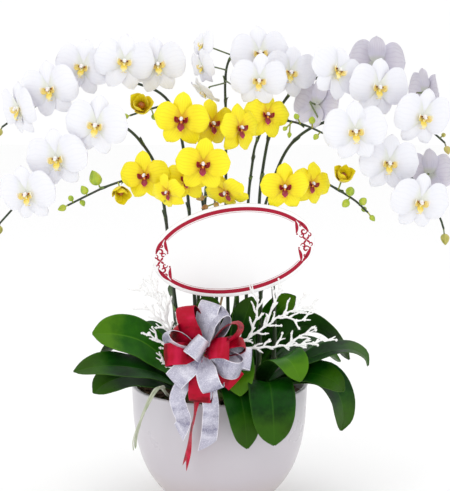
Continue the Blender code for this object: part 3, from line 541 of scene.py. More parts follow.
def card_material(name, colour, fleck, rough, coat):
    made, tree, shader = new_material(name)
    fibre = object_noise(tree, 700.0, 4.0, 0.6)
    cloud = object_noise(tree, 26.0, 3.0)
    body = mix_rgb(tree, math_of(tree, "MULTIPLY", fibre, 0.5), colour, fleck)
    body = mix_rgb(tree, math_of(tree, "MULTIPLY", cloud, 0.3), body, fleck)
    tree.links.new(body, shader.inputs["Base Color"])
    tree.links.new(math_of(tree, "MULTIPLY_ADD", fibre, 0.18, rough - 0.08), shader.inputs["Roughness"])
    bump(tree, shader, fibre, 0.12, 0.0004)
    shader.inputs["Coat Weight"].default_value = coat
    shader.inputs["Specular IOR Level"].default_value = 0.25
    return made


CARD = card_material("card_stock", (0.93, 0.93, 0.935), (0.88, 0.88, 0.885), 0.50, 0.05)
CARD_EDGE = card_material("card_core", (0.78, 0.775, 0.79), (0.66, 0.65, 0.66), 0.65, 0.0)
PRINT = card_material("print_crimson", (0.40, 0.004, 0.030), (0.33, 0.003, 0.024), 0.45, 0.0)
PRINT_PALE = card_material("print_rose", (0.80, 0.42, 0.48), (0.72, 0.32, 0.38), 0.42, 0.2)

# ================================================================ tables, in millimetres, as the CAD has them
BOWL_SIDE = ((64, 0), (72, 3), (94, 23), (109, 39), (122, 57), (132, 76), (139, 95), (145, 118), (150, 152), (152, 185), (153, 212))
BARK_TOP = 200
STEM_FOOT, STEM_TIP = 0.0036, 0.0017
SPIKES = {
    "white_spike_left_low": (
        "stem",
        [(-62, -18, 200.4), (-70, -8, 300), (-82, -2, 410), (-91, -18, 508), (-98, -38, 562), (-112, -58, 618),
         (-150, -78, 668), (-196, -88, 682), (-246, -86, 650), (-294, -84, 590), (-342, -80, 536), (-364, -80, 512)],
        [(-367, -82, 500, 7)],
    ),
    "white_spike_left_high": (
        "stem",
        [(-44, 26, 200.4), (-42, 30, 304), (-48, 30, 447), (-54, 12, 541), (-62, -6, 633), (-76, -18, 692),
         (-98, -22, 722), (-134, -25, 738), (-182, -28, 748), (-236, -32, 738), (-289, -36, 712), (-338, -38, 684), (-362, -40, 668)],
        [(-367, -44, 658, 6)],
    ),
    "white_spike_centre": (
        "stem",
        [(14, 22, 200.4), (15, 20, 306), (13, 20, 431), (11, 10, 529), (11, 5, 587), (11, -2, 676), (10, -8, 744),
         (18, -12, 780), (43, -16, 800), (76, -20, 798), (98, -24, 782)],
        [(-10, -2, 603, 4), (0, -16, 662, 5)],
    ),
    "white_spike_right_high": (
        "stem",
        [(64, 28, 200.4), (72, 30, 304), (69, 30, 464), (70, 15, 554), (84, -8, 651), (102, -16, 698), (134, -26, 736),
         (184, -30, 752), (233, -32, 744), (300, -38, 710), (342, -40, 672), (376, -44, 642)],
        [(380, -48, 630, 6), (372, -56, 656, 4)],
    ),
    "white_spike_right_low": (
        "stem",
        [(90, -12, 200.4), (96, 0, 311), (90, 0, 435), (86, -8, 540), (104, -26, 610), (134, -46, 654), (182, -68, 680),
         (230, -76, 672), (281, -74, 630), (321, -78, 583), (362, -82, 527), (372, -84, 503)],
        [(374, -86, 486, 8)],
    ),
    "yellow_spike_left_high": (
        "stem",
        [(-20, 6, 200.7), (-27, 4, 311), (-30, -4, 436), (-24, -22, 543), (-17, -40, 614), (-26, -56, 664),
         (-50, -66, 694), (-82, -68, 706), (-114, -70, 700), (-146, -74, 690)],
        [(-154, -78, 688, 5), (-106, -86, 688, 5), (-126, -97, 708, 18)],
    ),
    "yellow_spike_left_low": (
        "stem",
        [(-38, -26, 200.8), (-38, -14, 311), (-33, -38, 444), (-26, -66, 525), (-36, -82, 574), (-64, -88, 594),
         (-110, -84, 597), (-153, -84, 585), (-188, -86, 573), (-216, -88, 560), (-250, -90, 543)],
        [(-259, -92, 539, 6), (-203, -92, 589, 11), (-222, -96, 570, 7), (-226, -86, 546, 5), (-244, -98, 556, 5),
         (-161, -112, 568, 15)],
    ),
    "yellow_spike_centre": (
        "stem",
        [(-8, -16, 200.4), (-6, -16, 318), (-4, -44, 444), (-6, -74, 525), (-10, -94, 582), (-22, -106, 616)],
        [(-31, -96, 556, 6), (-24, -92, 540, 5), (-4, -100, 545, 5)],
    ),
    "yellow_spike_right_high": (
        "stem",
        [(44, -4, 200.4), (46, 0, 311), (47, -2, 435), (49, -16, 538), (55, -36, 603), (61, -50, 641), (78, -58, 672),
         (104, -50, 680), (140, -72, 674), (170, -86, 662)],
        [(179, -89, 659, 5), (126, -86, 690, 5), (152, -92, 684, 6), (158, -94, 656, 5), (108, -78, 668, 4), (116, -56, 656, 4)],
    ),
    "yellow_spike_right_low": (
        "stem",
        [(64, -18, 200.4), (70, -14, 318), (72, -34, 442), (74, -60, 524), (86, -76, 564), (112, -74, 586), (142, -56, 589),
         (170, -60, 580), (194, -68, 568), (224, -78, 550), (246, -80, 530)],
        [(254, -80, 520, 5), (216, -92, 568, 8), (208, -88, 546, 7), (238, -88, 550, 7), (240, -72, 534, 5), (203, -95, 592, 16)],
    ),
}

FLOWERS = {
    "white_flower_01": ("white_spike_left_high", (-328, -72, 699), -50, 8, 6, 0.96),
    "white_flower_02": ("white_spike_left_high", (-276, -84, 732), -14, 6, 10, 1.0),
    "white_flower_03": ("white_spike_left_high", (-224, -62, 767), -12, 0, -8, 0.97),
    "white_flower_04": ("white_spike_left_high", (-155, -76, 776), 6, -4, -6, 0.98),
    "white_flower_05": ("white_spike_left_high", (-102, -56, 770), 12, -4, 6, 0.97),
    "white_flower_06": ("white_spike_left_low", (-198, -122, 677), -10, 6, -8, 1.04),
    "white_flower_07": ("white_spike_left_low", (-263, -112, 622), -12, 8, 8, 1.04),
    "white_flower_08": ("white_spike_left_low", (-312, -118, 565), -16, 12, 10, 1.0),
    "white_flower_09": ("white_spike_centre", (-26, -42, 802), -62, -10, 0, 0.62),
    "white_flower_10": ("white_spike_centre", (-27, -54, 768), -52, 10, 0, 0.62),
    "white_flower_11": ("white_spike_centre", (-23, -58, 728), -66, 42, 0, 0.60),
    "white_flower_12": ("white_spike_centre", (67, -46, 788), 8, -6, 4, 0.98),
    "white_flower_13": ("white_spike_centre", (64, -96, 748), 4, 12, -4, 0.92, (-34, 0, -16)),
    "white_flower_14": ("white_spike_centre", (116, -56, 758), 14, 4, -10, 0.92),
    "white_flower_15": ("white_spike_right_high", (192, -78, 761), 30, -14, -32, 0.98),
    "white_flower_16": ("white_spike_right_high", (266, 12, 772), 168, -8, 4, 0.96),
    "white_flower_17": ("white_spike_right_high", (260, -80, 735), 12, 4, -6, 1.0),
    "white_flower_18": ("white_spike_right_high", (332, -86, 687), 20, 8, -10, 1.02),
    "white_flower_19": ("white_spike_right_high", (346, 2, 722), 118, 0, 0, 0.86),
    "white_flower_20": ("white_spike_right_low", (219, -132, 668), 2, 4, 4, 1.04),
    "white_flower_21": ("white_spike_right_low", (159, -50, 706), 140, 20, 10, 0.92),
    "white_flower_22": ("white_spike_right_low", (277, -98, 613), 8, 6, -6, 1.0),
    "white_flower_23": ("white_spike_right_low", (326, -120, 552), 14, 10, -10, 1.0),
    "white_flower_24": ("white_spike_right_low", (352, -34, 588), 148, 4, 0, 0.90),
    "yellow_flower_01": ("yellow_spike_left_high", (-60, -124, 687), -6, 2, -4, 1.04),
    "yellow_flower_02": ("yellow_spike_left_high", (-12, -84, 677), 30, 6, 4, 0.94),
    "yellow_flower_03": ("yellow_spike_right_high", (33, -112, 672), 38, 0, 0, 0.94),
    "yellow_flower_04": ("yellow_spike_right_high", (78, -76, 690), 20, -6, -6, 0.92),
    "yellow_flower_05": ("yellow_spike_left_low", (-121, -108, 594), -12, 4, 4, 0.96),
    "yellow_flower_06": ("yellow_spike_left_low", (-82, -140, 572), -34, 16, 14, 0.72, (-14, 0, -20)),
    "yellow_flower_07": ("yellow_spike_left_low", (-52, -112, 590), -8, 2, 0, 0.86),
    "yellow_flower_08": ("yellow_spike_centre", (-26, -148, 617), 4, 0, -4, 1.02),
    "yellow_flower_09": ("yellow_spike_centre", (12, -120, 570), -24, 34, 24, 0.86),
    "yellow_flower_10": ("yellow_spike_right_low", (106, -124, 578), 6, 4, 0, 0.92),
    "yellow_flower_11": ("yellow_spike_right_low", (152, -88, 578), 28, 2, -14, 0.86),
}

PLANTS = {
    "leaves_front_left": (
        (-60, -56),
        [
            ([(-62, -54, 222), (-92, -60, 272), (-130, -74, 308), (-172, -88, 324), (-212, -98, 328)], 80, -40),
            ([(-62, -60, 220), (-102, -86, 254), (-148, -112, 274), (-196, -130, 280), (-240, -140, 274)], 62, -30),
            ([(-64, -62, 214), (-104, -74, 240), (-148, -94, 254), (-186, -112, 248), (-210, -122, 232)], 68, -24),
        ],
        [(-84, -84, 216), (-96, -132, 244), (-108, -168, 246), (-124, -174, 212), (-136, -170, 172), (-138, -164, 150)],
    ),
    "leaves_back_left": (
        (-64, 56),
        [
            ([(-66, 56, 222), (-108, 46, 264), (-148, 30, 284), (-188, 14, 274), (-214, 4, 244)], 74, 40),
            ([(-66, 58, 222), (-112, 92, 262), (-152, 128, 272), (-190, 160, 244)], 78, -20),
            ([(-62, 60, 222), (-54, 112, 266), (-50, 160, 274), (-48, 206, 238)], 80, 12),
            ([(-66, 54, 218), (-122, 66, 238), (-172, 74, 244), (-216, 80, 214)], 66, 10),
            ([(-62, 54, 226), (-68, 46, 296), (-76, 40, 344), (-86, 34, 384)], 64, -76),
        ],
        None,
    ),
    "leaves_front_right": (
        (72, -54),
        [
            ([(74, -55, 222), (118, -68, 258), (165, -80, 286), (214, -86, 298), (242, -88, 288), (250, -88, 270)], 68, 12),
            ([(75, -58, 218), (116, -80, 246), (154, -102, 260), (188, -114, 252), (208, -118, 234)], 62, 24),
            ([(72, -60, 220), (86, -94, 266), (103, -130, 294), (119, -156, 292), (133, -172, 266)], 66, 14),
            ([(68, -62, 214), (76, -112, 246), (82, -156, 258), (86, -190, 238), (88, -202, 204), (90, -198, 166)], 76, 0),
            ([(76, -50, 214), (134, -58, 242), (176, -70, 246), (202, -80, 218), (210, -84, 184), (206, -86, 156)], 70, 18),
        ],
        None,
    ),
    "leaves_back_right": (
        (66, 58),
        [
            ([(68, 56, 224), (106, 44, 282), (148, 30, 312), (190, 14, 300), (226, 0, 258)], 76, -42),
            ([(68, 60, 218), (124, 72, 252), (174, 80, 260), (218, 86, 232)], 72, 8),
            ([(67, 62, 222), (98, 108, 264), (124, 150, 270), (146, 188, 240)], 76, 16),
            ([(64, 62, 220), (58, 116, 262), (54, 164, 270), (50, 208, 236)], 72, -10),
            ([(67, 56, 226), (84, 52, 292), (104, 46, 336), (134, 40, 362)], 52, 70),
            ([(65, 58, 228), (64, 62, 296), (68, 60, 344), (76, 58, 386)], 56, 80),
        ],
        None,
    ),
    "leaves_centre": (
        (6, -46),
        [
            ([(8, -47, 224), (30, -42, 298), (44, -40, 342), (56, -38, 378)], 54, 78),
            ([(4, -48, 224), (-20, -58, 288), (-42, -62, 332), (-58, -64, 362)], 52, -78),
            ([(2, -50, 222), (-12, -54, 290), (-19, -54, 340), (-23, -52, 386)], 64, -82),
            ([(9, -44, 224), (17, -38, 300), (24, -36, 350), (28, -34, 390)], 60, 82),
            ([(7, -52, 218), (18, -94, 268), (25, -130, 286), (31, -161, 272), (35, -178, 243)], 62, 8),
            ([(5, -52, 212), (16, -108, 242), (30, -152, 248), (40, -178, 212), (46, -178, 154)], 62, 0),
        ],
        None,
    ),
}

TWIGS = {
    "white_twigs_left": (
        ([(-58, -108, 201.8), (-66, -124, 262), (-75, -134, 320), (-90, -139, 372), (-114, -140, 436)], 3.0, 1.5, None),
        ([(-79, -136, 336), (-100, -141, 362), (-124, -142, 390)], 2.3, 1.3, 0),
        ([(-71, -130, 300), (-94, -139, 322), (-118, -143, 340)], 2.3, 1.3, 0),
        ([(-86, -138, 360), (-84, -139, 386), (-92, -139, 412)], 2.1, 1.2, 0),
        ([(-98, -139, 394), (-118, -141, 408), (-134, -141, 420)], 2.0, 1.2, 0),
        ([(-77, -136, 328), (-67, -137, 352), (-66, -138, 378)], 2.1, 1.2, 0),
        ([(-67, -125, 270), (-86, -135, 286), (-104, -142, 298)], 2.0, 1.2, 0),
    ),
    "white_twigs_right": (
        ([(-12, -104, 201.8), (-22, -132, 250), (-12, -143, 292), (34, -140, 322), (68, -138, 344), (106, -138, 370), (158, -136, 386)], 3.0, 1.5, None),
        ([(48, -137, 330), (60, -138, 362), (64, -138, 404)], 2.2, 1.3, 0),
        ([(76, -138, 349), (88, -138, 384), (102, -138, 420)], 2.2, 1.3, 0),
        ([(22, -135, 308), (62, -140, 314), (108, -142, 318), (150, -142, 322), (174, -142, 330)], 2.5, 1.3, 0),
        ([(104, -138, 369), (128, -140, 360), (150, -140, 362)], 2.0, 1.2, 0),
        ([(122, -137, 377), (134, -138, 394), (140, -138, 408)], 2.0, 1.2, 0),
        ([(110, -142, 319), (132, -142, 334), (158, -142, 344)], 2.0, 1.2, 3),
    ),
}


# ================================================================ bowl and bark
def smooth_profile(points, step=0.004):
    return [(p.x, p.z) for p in resampled([Vector((r, 0, z)) for r, z in points], step=step)]


def lathe(profile, sides=144, slot=0, wobble=None):
    """Rings turned about Z from (radius, height) points that start and end on the axis."""
    shape = Shape()
    rings = []
    for r, z in profile:
        ring = []
        for k in range(sides):
            a = TAU * k / sides
            dr, dz = wobble(a, r, z) if wobble else (0.0, 0.0)
            ring.append(((max(r, 2e-5) + dr) * math.cos(a), (max(r, 2e-5) + dr) * math.sin(a), z + dz))
        rings.append(ring)
    shape.tube(np.array(rings), slot)
    return shape


outer = [(r * MM, z * MM) for r, z in BOWL_SIDE]
under = [(0.0, 0.0022), (0.030, 0.0022), (0.0545, 0.0020), (0.0570, 0.0004), (0.0600, 0.0000), (0.0640, 0.0000)]
side = smooth_profile([(0.0640, 0.0), *outer[1:], (0.1537, 0.2165)], 0.005)[1:]
lip_ring = [(0.1541, 0.2178), (0.1537, 0.2191), (0.1526, 0.2199), (0.1508, 0.2202), (0.1491, 0.2199), (0.1477, 0.2190), (0.1469, 0.2174)]
within = smooth_profile([(0.1466, 0.2160), (0.1460, 0.210), (0.1450, 0.185), (0.1430, 0.152), (0.1380, 0.118), (0.1320, 0.095), (0.1250, 0.076),
                         (0.1150, 0.057), (0.1020, 0.039), (0.0870, 0.0240), (0.0700, 0.0165), (0.0400, 0.0160), (0.0, 0.0160)], 0.008)
lathe([*under, *side, *lip_ring, *within]).make("glazed_bowl_body", [GLAZE], ["bowl"], "glazed_bowl", 50)


def bark_bed():
    rng = random.Random(11)
    shape = Shape()

    def uneven(a, r, z):
        if z < 0.17 or r < 0.002:
            return 0.0, 0.0
        return 0.0, 0.0030 * math.sin(3 * a + r * 60) * math.sin(5 * a - r * 90) - 0.001

    bed = lathe([(0.0, 0.0170), (0.066, 0.0172), (0.0845, 0.0250), (0.0995, 0.0400), (0.1125, 0.0580), (0.1225, 0.0770), (0.1295, 0.0960), (0.1355, 0.1190), (0.1405, 0.1530),
                 (0.1435, 0.1850), (0.1432, 0.1900), (0.136, 0.1935), (0.115, 0.1950), (0.08, 0.1955), (0.04, 0.1955), (0.0, 0.1955)], 72, 0, uneven)
    shape.points, shape.faces, shape.uvs, shape.slots = bed.points, bed.faces, bed.uvs, bed.slots
    # chips of bark, laid every way over the bed
    for k in range(620):
        r = 0.142 * math.sqrt(rng.random())
        a = rng.random() * TAU
        size = rng.uniform(0.0055, 0.0125)
        half = (size, size * rng.uniform(0.45, 0.8), size * rng.uniform(0.16, 0.34))
        r = min(r, 0.1425 - size)
        turn = Matrix.Rotation(rng.random() * TAU, 3, "Z") @ Matrix.Rotation(rng.uniform(-0.5, 0.5), 3, "X") @ Matrix.Rotation(rng.uniform(-0.45, 0.45), 3, "Y")
        centre = Vector((r * math.cos(a), r * math.sin(a), 0.1965 + rng.uniform(0.0, 0.0065)))
        rings = []
        for share, inset in ((-1.0, 0.72), (-0.75, 0.97), (0.1, 1.0), (0.8, 0.93), (1.0, 0.66)):
            ring = []
            for j in range(7):
                b = TAU * (j + 0.3) / 7
                jag = 1 + rng.uniform(-0.14, 0.14)
                ring.append(tuple(centre + turn @ Vector((half[0] * inset * jag * math.cos(b), half[1] * inset * jag * math.sin(b), half[2] * share))))
            rings.append(ring)
        shape.tube(np.array(rings), 1, u=(rng.random(), rng.random() + 1))
    # moss between the chips
    for k in range(90):
        r, a = 0.134 * math.sqrt(rng.random()), rng.random() * TAU
        for _ in range(5):
            base = Vector((r * math.cos(a) + rng.uniform(-0.006, 0.006), r * math.sin(a) + rng.uniform(-0.006, 0.006), 0.199))
            lean = Vector((rng.uniform(-0.5, 0.5), rng.uniform(-0.5, 0.5), 1)).normalized()
            length = rng.uniform(0.004, 0.009)
            pts = [base, base + lean * length * 0.55, base + lean * length + Vector((0, 0, -0.0006))]
            shape.tube(rings_of(pts, [0.0012, 0.0010, 0.0003], 5), 2)
    shape.make("bark_chips", [SOIL, BARK, MOSS], ["potting_bark"], "bark", 35)


bark_bed()


# ================================================================ flowers
def tepal(shape, rng, angle, length, half_up, half_low, slots, z0=0.0, claw=0.16, widest=0.52, point=2.0, tip_lift=0.0, arch=0.0,
          cup=0.0, wave=0.0, n=15, m=13, thick=0.0008, keel=0.0, twist=0.0):
    """One sepal or petal. t runs anticlockwise across it, s from the claw to the tip."""
    a = math.radians(angle)
    along, across = np.array((math.cos(a), math.sin(a), 0.0)), np.array((-math.sin(a), math.cos(a), 0.0))
    out = np.array((0.0, 0.0, 1.0))
    s = 0.5 - 0.5 * np.cos(np.pi * (np.linspace(0.10, 1.0, n)))
    s = (s - s[0]) / (s[-1] - s[0])
    rise = np.clip(s / widest, 0, 1)
    rise = claw + (1 - claw) * (1 - (1 - rise) ** 2.2)
    fall = np.clip((s - widest) / (1 - widest), 0, 1)
    fall = np.maximum(1 - fall**point, 0.0) ** (1.0 / min(point, 2.2))
    w = np.where(s < widest, rise, fall)
    w = np.maximum(w, 0.035)
    t = np.sin(np.linspace(-1, 1, m) * math.pi / 2 * 0.92) / math.sin(math.pi / 2 * 0.92)
    half = np.where(t > 0, half_up, half_low)
    phase, waves = rng.uniform(0, TAU), rng.uniform(1.4, 2.3)
    phase2 = rng.uniform(0, TAU)
    S, T = np.meshgrid(s, t, indexing="ij")
    W = w[:, None] * half[None, :]
    x = length * S * (1 - 0.03 * T * T)
    y = T * W
    z = z0 + tip_lift * S**1.6 + arch * 4 * S * (1 - S) + cup * (T * T) * (w[:, None]) + keel * np.exp(-((T / 0.12) ** 2)) * (1 - S) * 0.6
    z = z + wave * (np.abs(T) ** 2.5) * np.sin(TAU * waves * S + phase + T) * np.clip(S * 2, 0, 1)
    z = z + wave * 0.5 * np.sin(TAU * 0.8 * S + phase2) * T * S
    z = z + twist * T * S * half.max()
    y = y + 0.02 * length * math.sin(phase) * S * S
    grid = x[..., None] * along + y[..., None] * across + z[..., None] * out
    thickness = thick * (0.45 + 0.55 * (1 - np.abs(T) ** 2)) * (1.25 - 0.5 * S)
    shape.sheet(grid, thickness, slots[0], back=slots[1], v=s)


def curve_points(points, count):
    return resampled([Vector(p) for p in points], count=count)


def lip(shape, k, yellow, rng):
    """The lip and column, in millimetres times k. Slots: 2 column, 3 side lobes, 4 mid lobe, 5 throat, 6 tip."""
    mm = MM * k

    def lobe(points, halves, across, slot, drop, n=9, m=7, thick=0.9, v=(0.0, 1.0)):
        path = curve_points(points, n)
        way = tangents(path)
        hs = np.interp(np.linspace(0, 1, n), np.linspace(0, 1, len(halves)), halves)
        side = Vector(across).normalized()
        rows = []
        for p, d, h in zip(path, way, hs):
            up = side.cross(d).normalized() * -1
            rows.append([tuple((p + side * t * h - up * drop * t * t * h) * mm) for t in np.linspace(-1, 1, m)])
        shape.sheet(np.array(rows), thick * mm, slot, v=v)

    # mid lobe: narrow at the throat, widest two thirds down, drawn to a point
    if yellow:
        lobe([(0, -1.0, 2.6), (0, -4.6, 6.4), (0, -8.8, 9.4), (0, -13.2, 10.6), (0, -17.0, 9.4)], [2.0, 3.2, 4.4, 5.8, 5.0, 0.9], (1, 0, 0), 4, 0.34)
    else:
        lobe([(0, -1.0, 2.6), (0, -4.0, 7.0), (0, -7.0, 10.0), (0, -10.4, 11.4), (0, -13.4, 10.2)], [2.2, 3.4, 4.6, 4.8, 3.2, 0.8], (1, 0, 0), 4, 0.30)
    # side lobes: ears that stand up each side of the column and curl in
    for sign in (-1, 1):
        lift = rng.uniform(-0.5, 0.5)
        lobe([(sign * 1.8, -0.8, 2.8), (sign * 6.4, -0.6, 5.2), (sign * 10.2, 2.4 + lift, 8.2), (sign * 10.6, 6.0 + lift, 11.0)],
             [2.6, 4.4, 4.8, 3.6, 1.0], (0.30 * sign, -0.80, 0.50), 3, 0.22 * sign)
        # cirri at the tip of the mid lobe
        drop = 0.0 if yellow else 3.9
        tip = [(0.5 * sign, -16.8 + drop, 9.4), (2.4 * sign, -18.4 + drop, 8.6), (4.4 * sign, -17.8 + drop, 7.4), (5.0 * sign, -16.2 + drop, 7.0)]
        path = [p * mm for p in curve_points(tip, 7)]
        shape.tube(rings_of(path, np.linspace(0.55, 0.22, 7) * mm, 6), 6)
    # callus in the throat, in two teeth
    for sign in (-1, 1):
        shape.blob((1.1 * sign * mm, -1.6 * mm, 6.0 * mm), (1.2 * mm, 1.3 * mm, 1.8 * mm), 5, 6, 8)
    shape.blob((0, -3.4 * mm, 6.2 * mm), (2.0 * mm, 2.0 * mm, 1.4 * mm), 5, 6, 10)
    # column and its cap
    path = [Vector(p) * mm for p in ((0, 1.6, -0.4), (0, 3.0, 3.0), (0, 3.4, 6.4), (0, 2.6, 9.4))]
    fine = resampled(path, count=8)
    shape.tube(rings_of(fine, [r * mm for r in (2.0, 2.1, 2.2, 2.4, 2.7, 3.0, 3.1, 2.4)], 12), 2)
    shape.blob((0, 1.9 * mm, 10.2 * mm), (2.5 * mm, 2.1 * mm, 2.0 * mm), 2, 8, 12)
    # the dots at the head of the throat: on white flowers dark brown, painted shade where the column shades the throat
    for sign in (-1, 1):
        shape.blob((4.4 * sign * mm, 2.4 * mm, 5.4 * mm), (1.5 * mm, 1.3 * mm, 1.5 * mm), 6 if yellow else 7, 6, 9)


def flower_shape(yellow, size, rng, frame):
    width = (0.090 if yellow else 0.101) * size
    shape = Shape()
    v = lambda low, high: rng.uniform(low, high)
    if yellow:
        sepal = dict(claw=0.30, widest=0.54, point=1.9, thick=0.0009, wave=0.0018, keel=0.0006)
        tepal(shape, rng, 90 + v(-3, 3), 0.48 * width, 0.165 * width, 0.165 * width, (0, 1), -0.0012, tip_lift=-0.05 * width + v(-0.002, 0.002), arch=0.0030, cup=v(-0.004, 0.002), **sepal)
        for angle in (238, 302):
            tepal(shape, rng, angle + v(-3, 3), 0.48 * width, 0.170 * width, 0.170 * width, (0, 1), -0.0012, tip_lift=-0.06 * width + v(-0.002, 0.002), arch=0.0030, cup=v(-0.003, 0.003), **sepal)
        for angle, up in ((172, False), (8, True)):
            hu, hl = (0.270 * width, 0.225 * width)
            tepal(shape, rng, angle + v(-2, 2), 0.49 * width, hu if up else hl, hl if up else hu, (0, 1), 0.0008, claw=0.14, widest=0.56, point=2.1,
                  tip_lift=-0.02 * width + v(-0.003, 0.003), arch=0.0045, cup=v(-0.006, 0.002), wave=0.0030, thick=0.0009, keel=0.0004)
    else:
        sepal = dict(claw=0.34, widest=0.50, point=2.0, thick=0.0008, wave=0.0012, keel=0.0005)
        tepal(shape, rng, 90 + v(-3, 3), 0.48 * width, 0.160 * width, 0.160 * width, (0, 1), -0.0014, tip_lift=-0.05 * width + v(-0.002, 0.002), arch=0.0030, cup=v(-0.004, 0.003), **sepal)
        for angle in (241, 299):
            tepal(shape, rng, angle + v(-3, 3), 0.465 * width, 0.155 * width, 0.155 * width, (0, 1), -0.0014, tip_lift=-0.05 * width + v(-0.002, 0.002), arch=0.0030, cup=v(-0.003, 0.003), **sepal)
        for angle, up in ((174, False), (6, True)):
            hu, hl = (0.350 * width, 0.265 * width)
            tepal(shape, rng, angle + v(-2, 2), 0.505 * width, hu if up else hl, hl if up else hu, (0, 1), 0.0009, claw=0.13, widest=0.58, point=2.4,
                  tip_lift=-0.015 * width + v(-0.003, 0.003), arch=0.0048, cup=v(-0.007, -0.001), wave=0.0018, n=17, m=15, thick=0.0008, keel=0.0004)
    lip(shape, size * (0.96 if yellow else 1.12), yellow, rng)
    shape.moved(frame)
    return shape


def flower_frame(place, turn, nod, roll):
    return (Matrix.Translation(vec(place)) @ Matrix.Rotation(math.radians(turn), 4, "Z")
            @ Matrix.Rotation(math.radians(90 + nod), 4, "X") @ Matrix.Rotation(math.radians(roll), 4, "Z"))


def spike_path(name):
    return resampled([vec(p) for p in SPIKES[name][1]], step=0.040)


def stem_radius(share):
    return STEM_FOOT + (STEM_TIP - STEM_FOOT) * share


def flower(name, spike, place, turn, nod, roll, size, aside=(0, 0, 0)):
    yellow = name.startswith("yellow")
    rng = random.Random(name)
    frame_of = flower_frame(place, turn, nod, roll)
    shape = flower_shape(yellow, size, rng, frame_of)
    # the pedicel runs straight back from the flower, then bends across to the stem
    out = (frame_of.to_3x3() @ Vector((0, 0, 1))).normalized()
    start = frame_of @ Vector((0, 0, -0.0016))
    bend = start - out * 0.016 * size + vec(aside)
    spot, share = nearest(spike_path(spike), bend)
    way = (spot - bend).normalized()
    stop = spot - way * (stem_radius(share) + 0.0006)
    path = resampled([start + out * 0.0022, start - out * 0.006, start.lerp(bend, 0.72), bend, bend.lerp(stop, 0.5), stop], count=16)
    radii = [0.0024, 0.0019, 0.0016, 0.0015] + [0.00135] * 10 + [0.0015, 0.0017]
    shape.tube(rings_of(path, radii, 8, profile=lambda a, i: 1 + 0.10 * math.cos(3 * a)), 8)
    if yellow:
        looks = [YELLOW, YELLOW_BACK_SHADED, COLUMN, LIP_CRIMSON, LIP_MAGENTA, LIP_ORANGE, LIP_ORANGE, LIP_BROWN_SHADE, PEDICEL_YELLOW]
    else:
        looks = [WHITE, WHITE_BACK_SHADED, COLUMN, LIP_TIP, LIP_GOLD, LIP_GOLD, LIP_TIP, LIP_BROWN_SHADE, PEDICEL]
    shape.make(name + "_bloom", looks, [name], "yellow_petal" if yellow else "white_petal", 50)


PEDICEL_YELLOW = living("pedicel_lime", (0.16, 0.22, 0.02), (0.40, 0.46, 0.04), (0.50, 0.44, 0.08), 90.0)
for name, row in FLOWERS.items():
    flower(name, *row)


# ================================================================ spikes
def closed_bud(shape, points, radius, rng, slot):
    """A bud on its stalk: three sepals folded edge to edge, with a seam between each pair."""
    foot, mid, neck, low, high, top = points
    way = (top - neck).normalized()
    stalk = resampled([foot, mid, neck, neck.lerp(low, 0.4)], count=8)
    shape.tube(rings_of(stalk, [0.0017, 0.0013, 0.0012, 0.0012, 0.0012, 0.0013, 0.0015, 0.0018], 8), 1)
    phase = rng.uniform(0, TAU)
    length = radius * rng.uniform(2.45, 2.75)
    start = low.lerp(high, 0.5) - way * length * 0.5
    rows = []
    count = 12
    side = way.orthogonal().normalized()
    other = way.cross(side)
    lean = (side * math.cos(phase) + other * math.sin(phase)) * radius * 0.12
    for i in range(count):
        s = i / (count - 1)
        r = radius * (math.sin(math.pi * s ** 0.80) ** 0.72 if 0 < s < 1 else 0.0) * (1.04 - 0.22 * s)
        r = max(r, radius * 0.03)
        centre = start + way * length * s + lean * math.sin(math.pi * s)
        row = []
        for k in range(15):
            a = TAU * k / 15
            seam = abs(math.sin(1.5 * (a + phase)))
            row.append(tuple(centre + (side * math.cos(a) + other * math.sin(a)) * r * (0.93 + 0.09 * seam ** 0.6)))
        rows.append(row)
    shape.tube(np.array(rows), slot)


def half_open(shape, points, radius, rng, slots):
    """A yellow flower that has begun to open: five cupped tepals round a dark throat."""
    foot, mid, neck, low, high, top = points
    stalk = resampled([foot, mid, neck, low], count=8)
    shape.tube(rings_of(stalk, [0.0017, 0.0013, 0.0013, 0.0013, 0.0014, 0.0015, 0.0017, 0.0022], 8), 1)
    way = (top - neck).normalized()
    part = Shape()
    length = radius * 1.95
    for k in range(5):
        wide = 0.42 if k % 2 else 0.50
        one = Shape()
        tepal(one, rng, 0, length, wide * length * 0.80, wide * length * 0.80, slots, 0.0, claw=0.35, widest=0.55, point=1.9, cup=radius * 0.45, wave=0.0008, thick=0.0010)
        # lift each one round the axis like a cup
        pts = np.array(one.points)
        r, h = pts[:, 0], pts[:, 2]
        a = np.radians(36.0 + (9 if k % 2 else -5)) + (r / length) * 0.42
        one.points = [tuple(p) for p in np.stack([r * np.cos(a) - h * np.sin(a) + 0.0006, pts[:, 1], r * np.sin(a) + h * np.cos(a)], axis=1)]
        one.moved(Matrix.Rotation(TAU * k / 5, 4, "Z"))
        base = len(part.points)
        part.points += one.points
        part.faces += [tuple(i + base for i in f) for f in one.faces]
        part.uvs += one.uvs
        part.slots += one.slots
    part.moved(Matrix.Translation(neck.lerp(low, 0.5)) @ way.to_track_quat("Z", "Y").to_matrix().to_4x4())
    base = len(shape.points)
    shape.points += part.points
    shape.faces += [tuple(i + base for i in f) for f in part.faces]
    shape.uvs += part.uvs
    shape.slots += part.slots
    # a dark brown ball in the throat: the lip's red deepened by painted shade inside the cup
    shape.blob(tuple(low + way * radius * 0.5), (radius * 0.34,) * 3, 5, 8, 12)


def bud_path(path, centre, radius):
    foot, _ = nearest(path, centre)
    way = (centre - foot).normalized()
    top = centre + way * radius * 1.25
    return [foot, foot.lerp(centre, 0.45), centre - way * radius * 1.15, centre - way * radius * 0.35, centre + way * radius * 0.45, top]


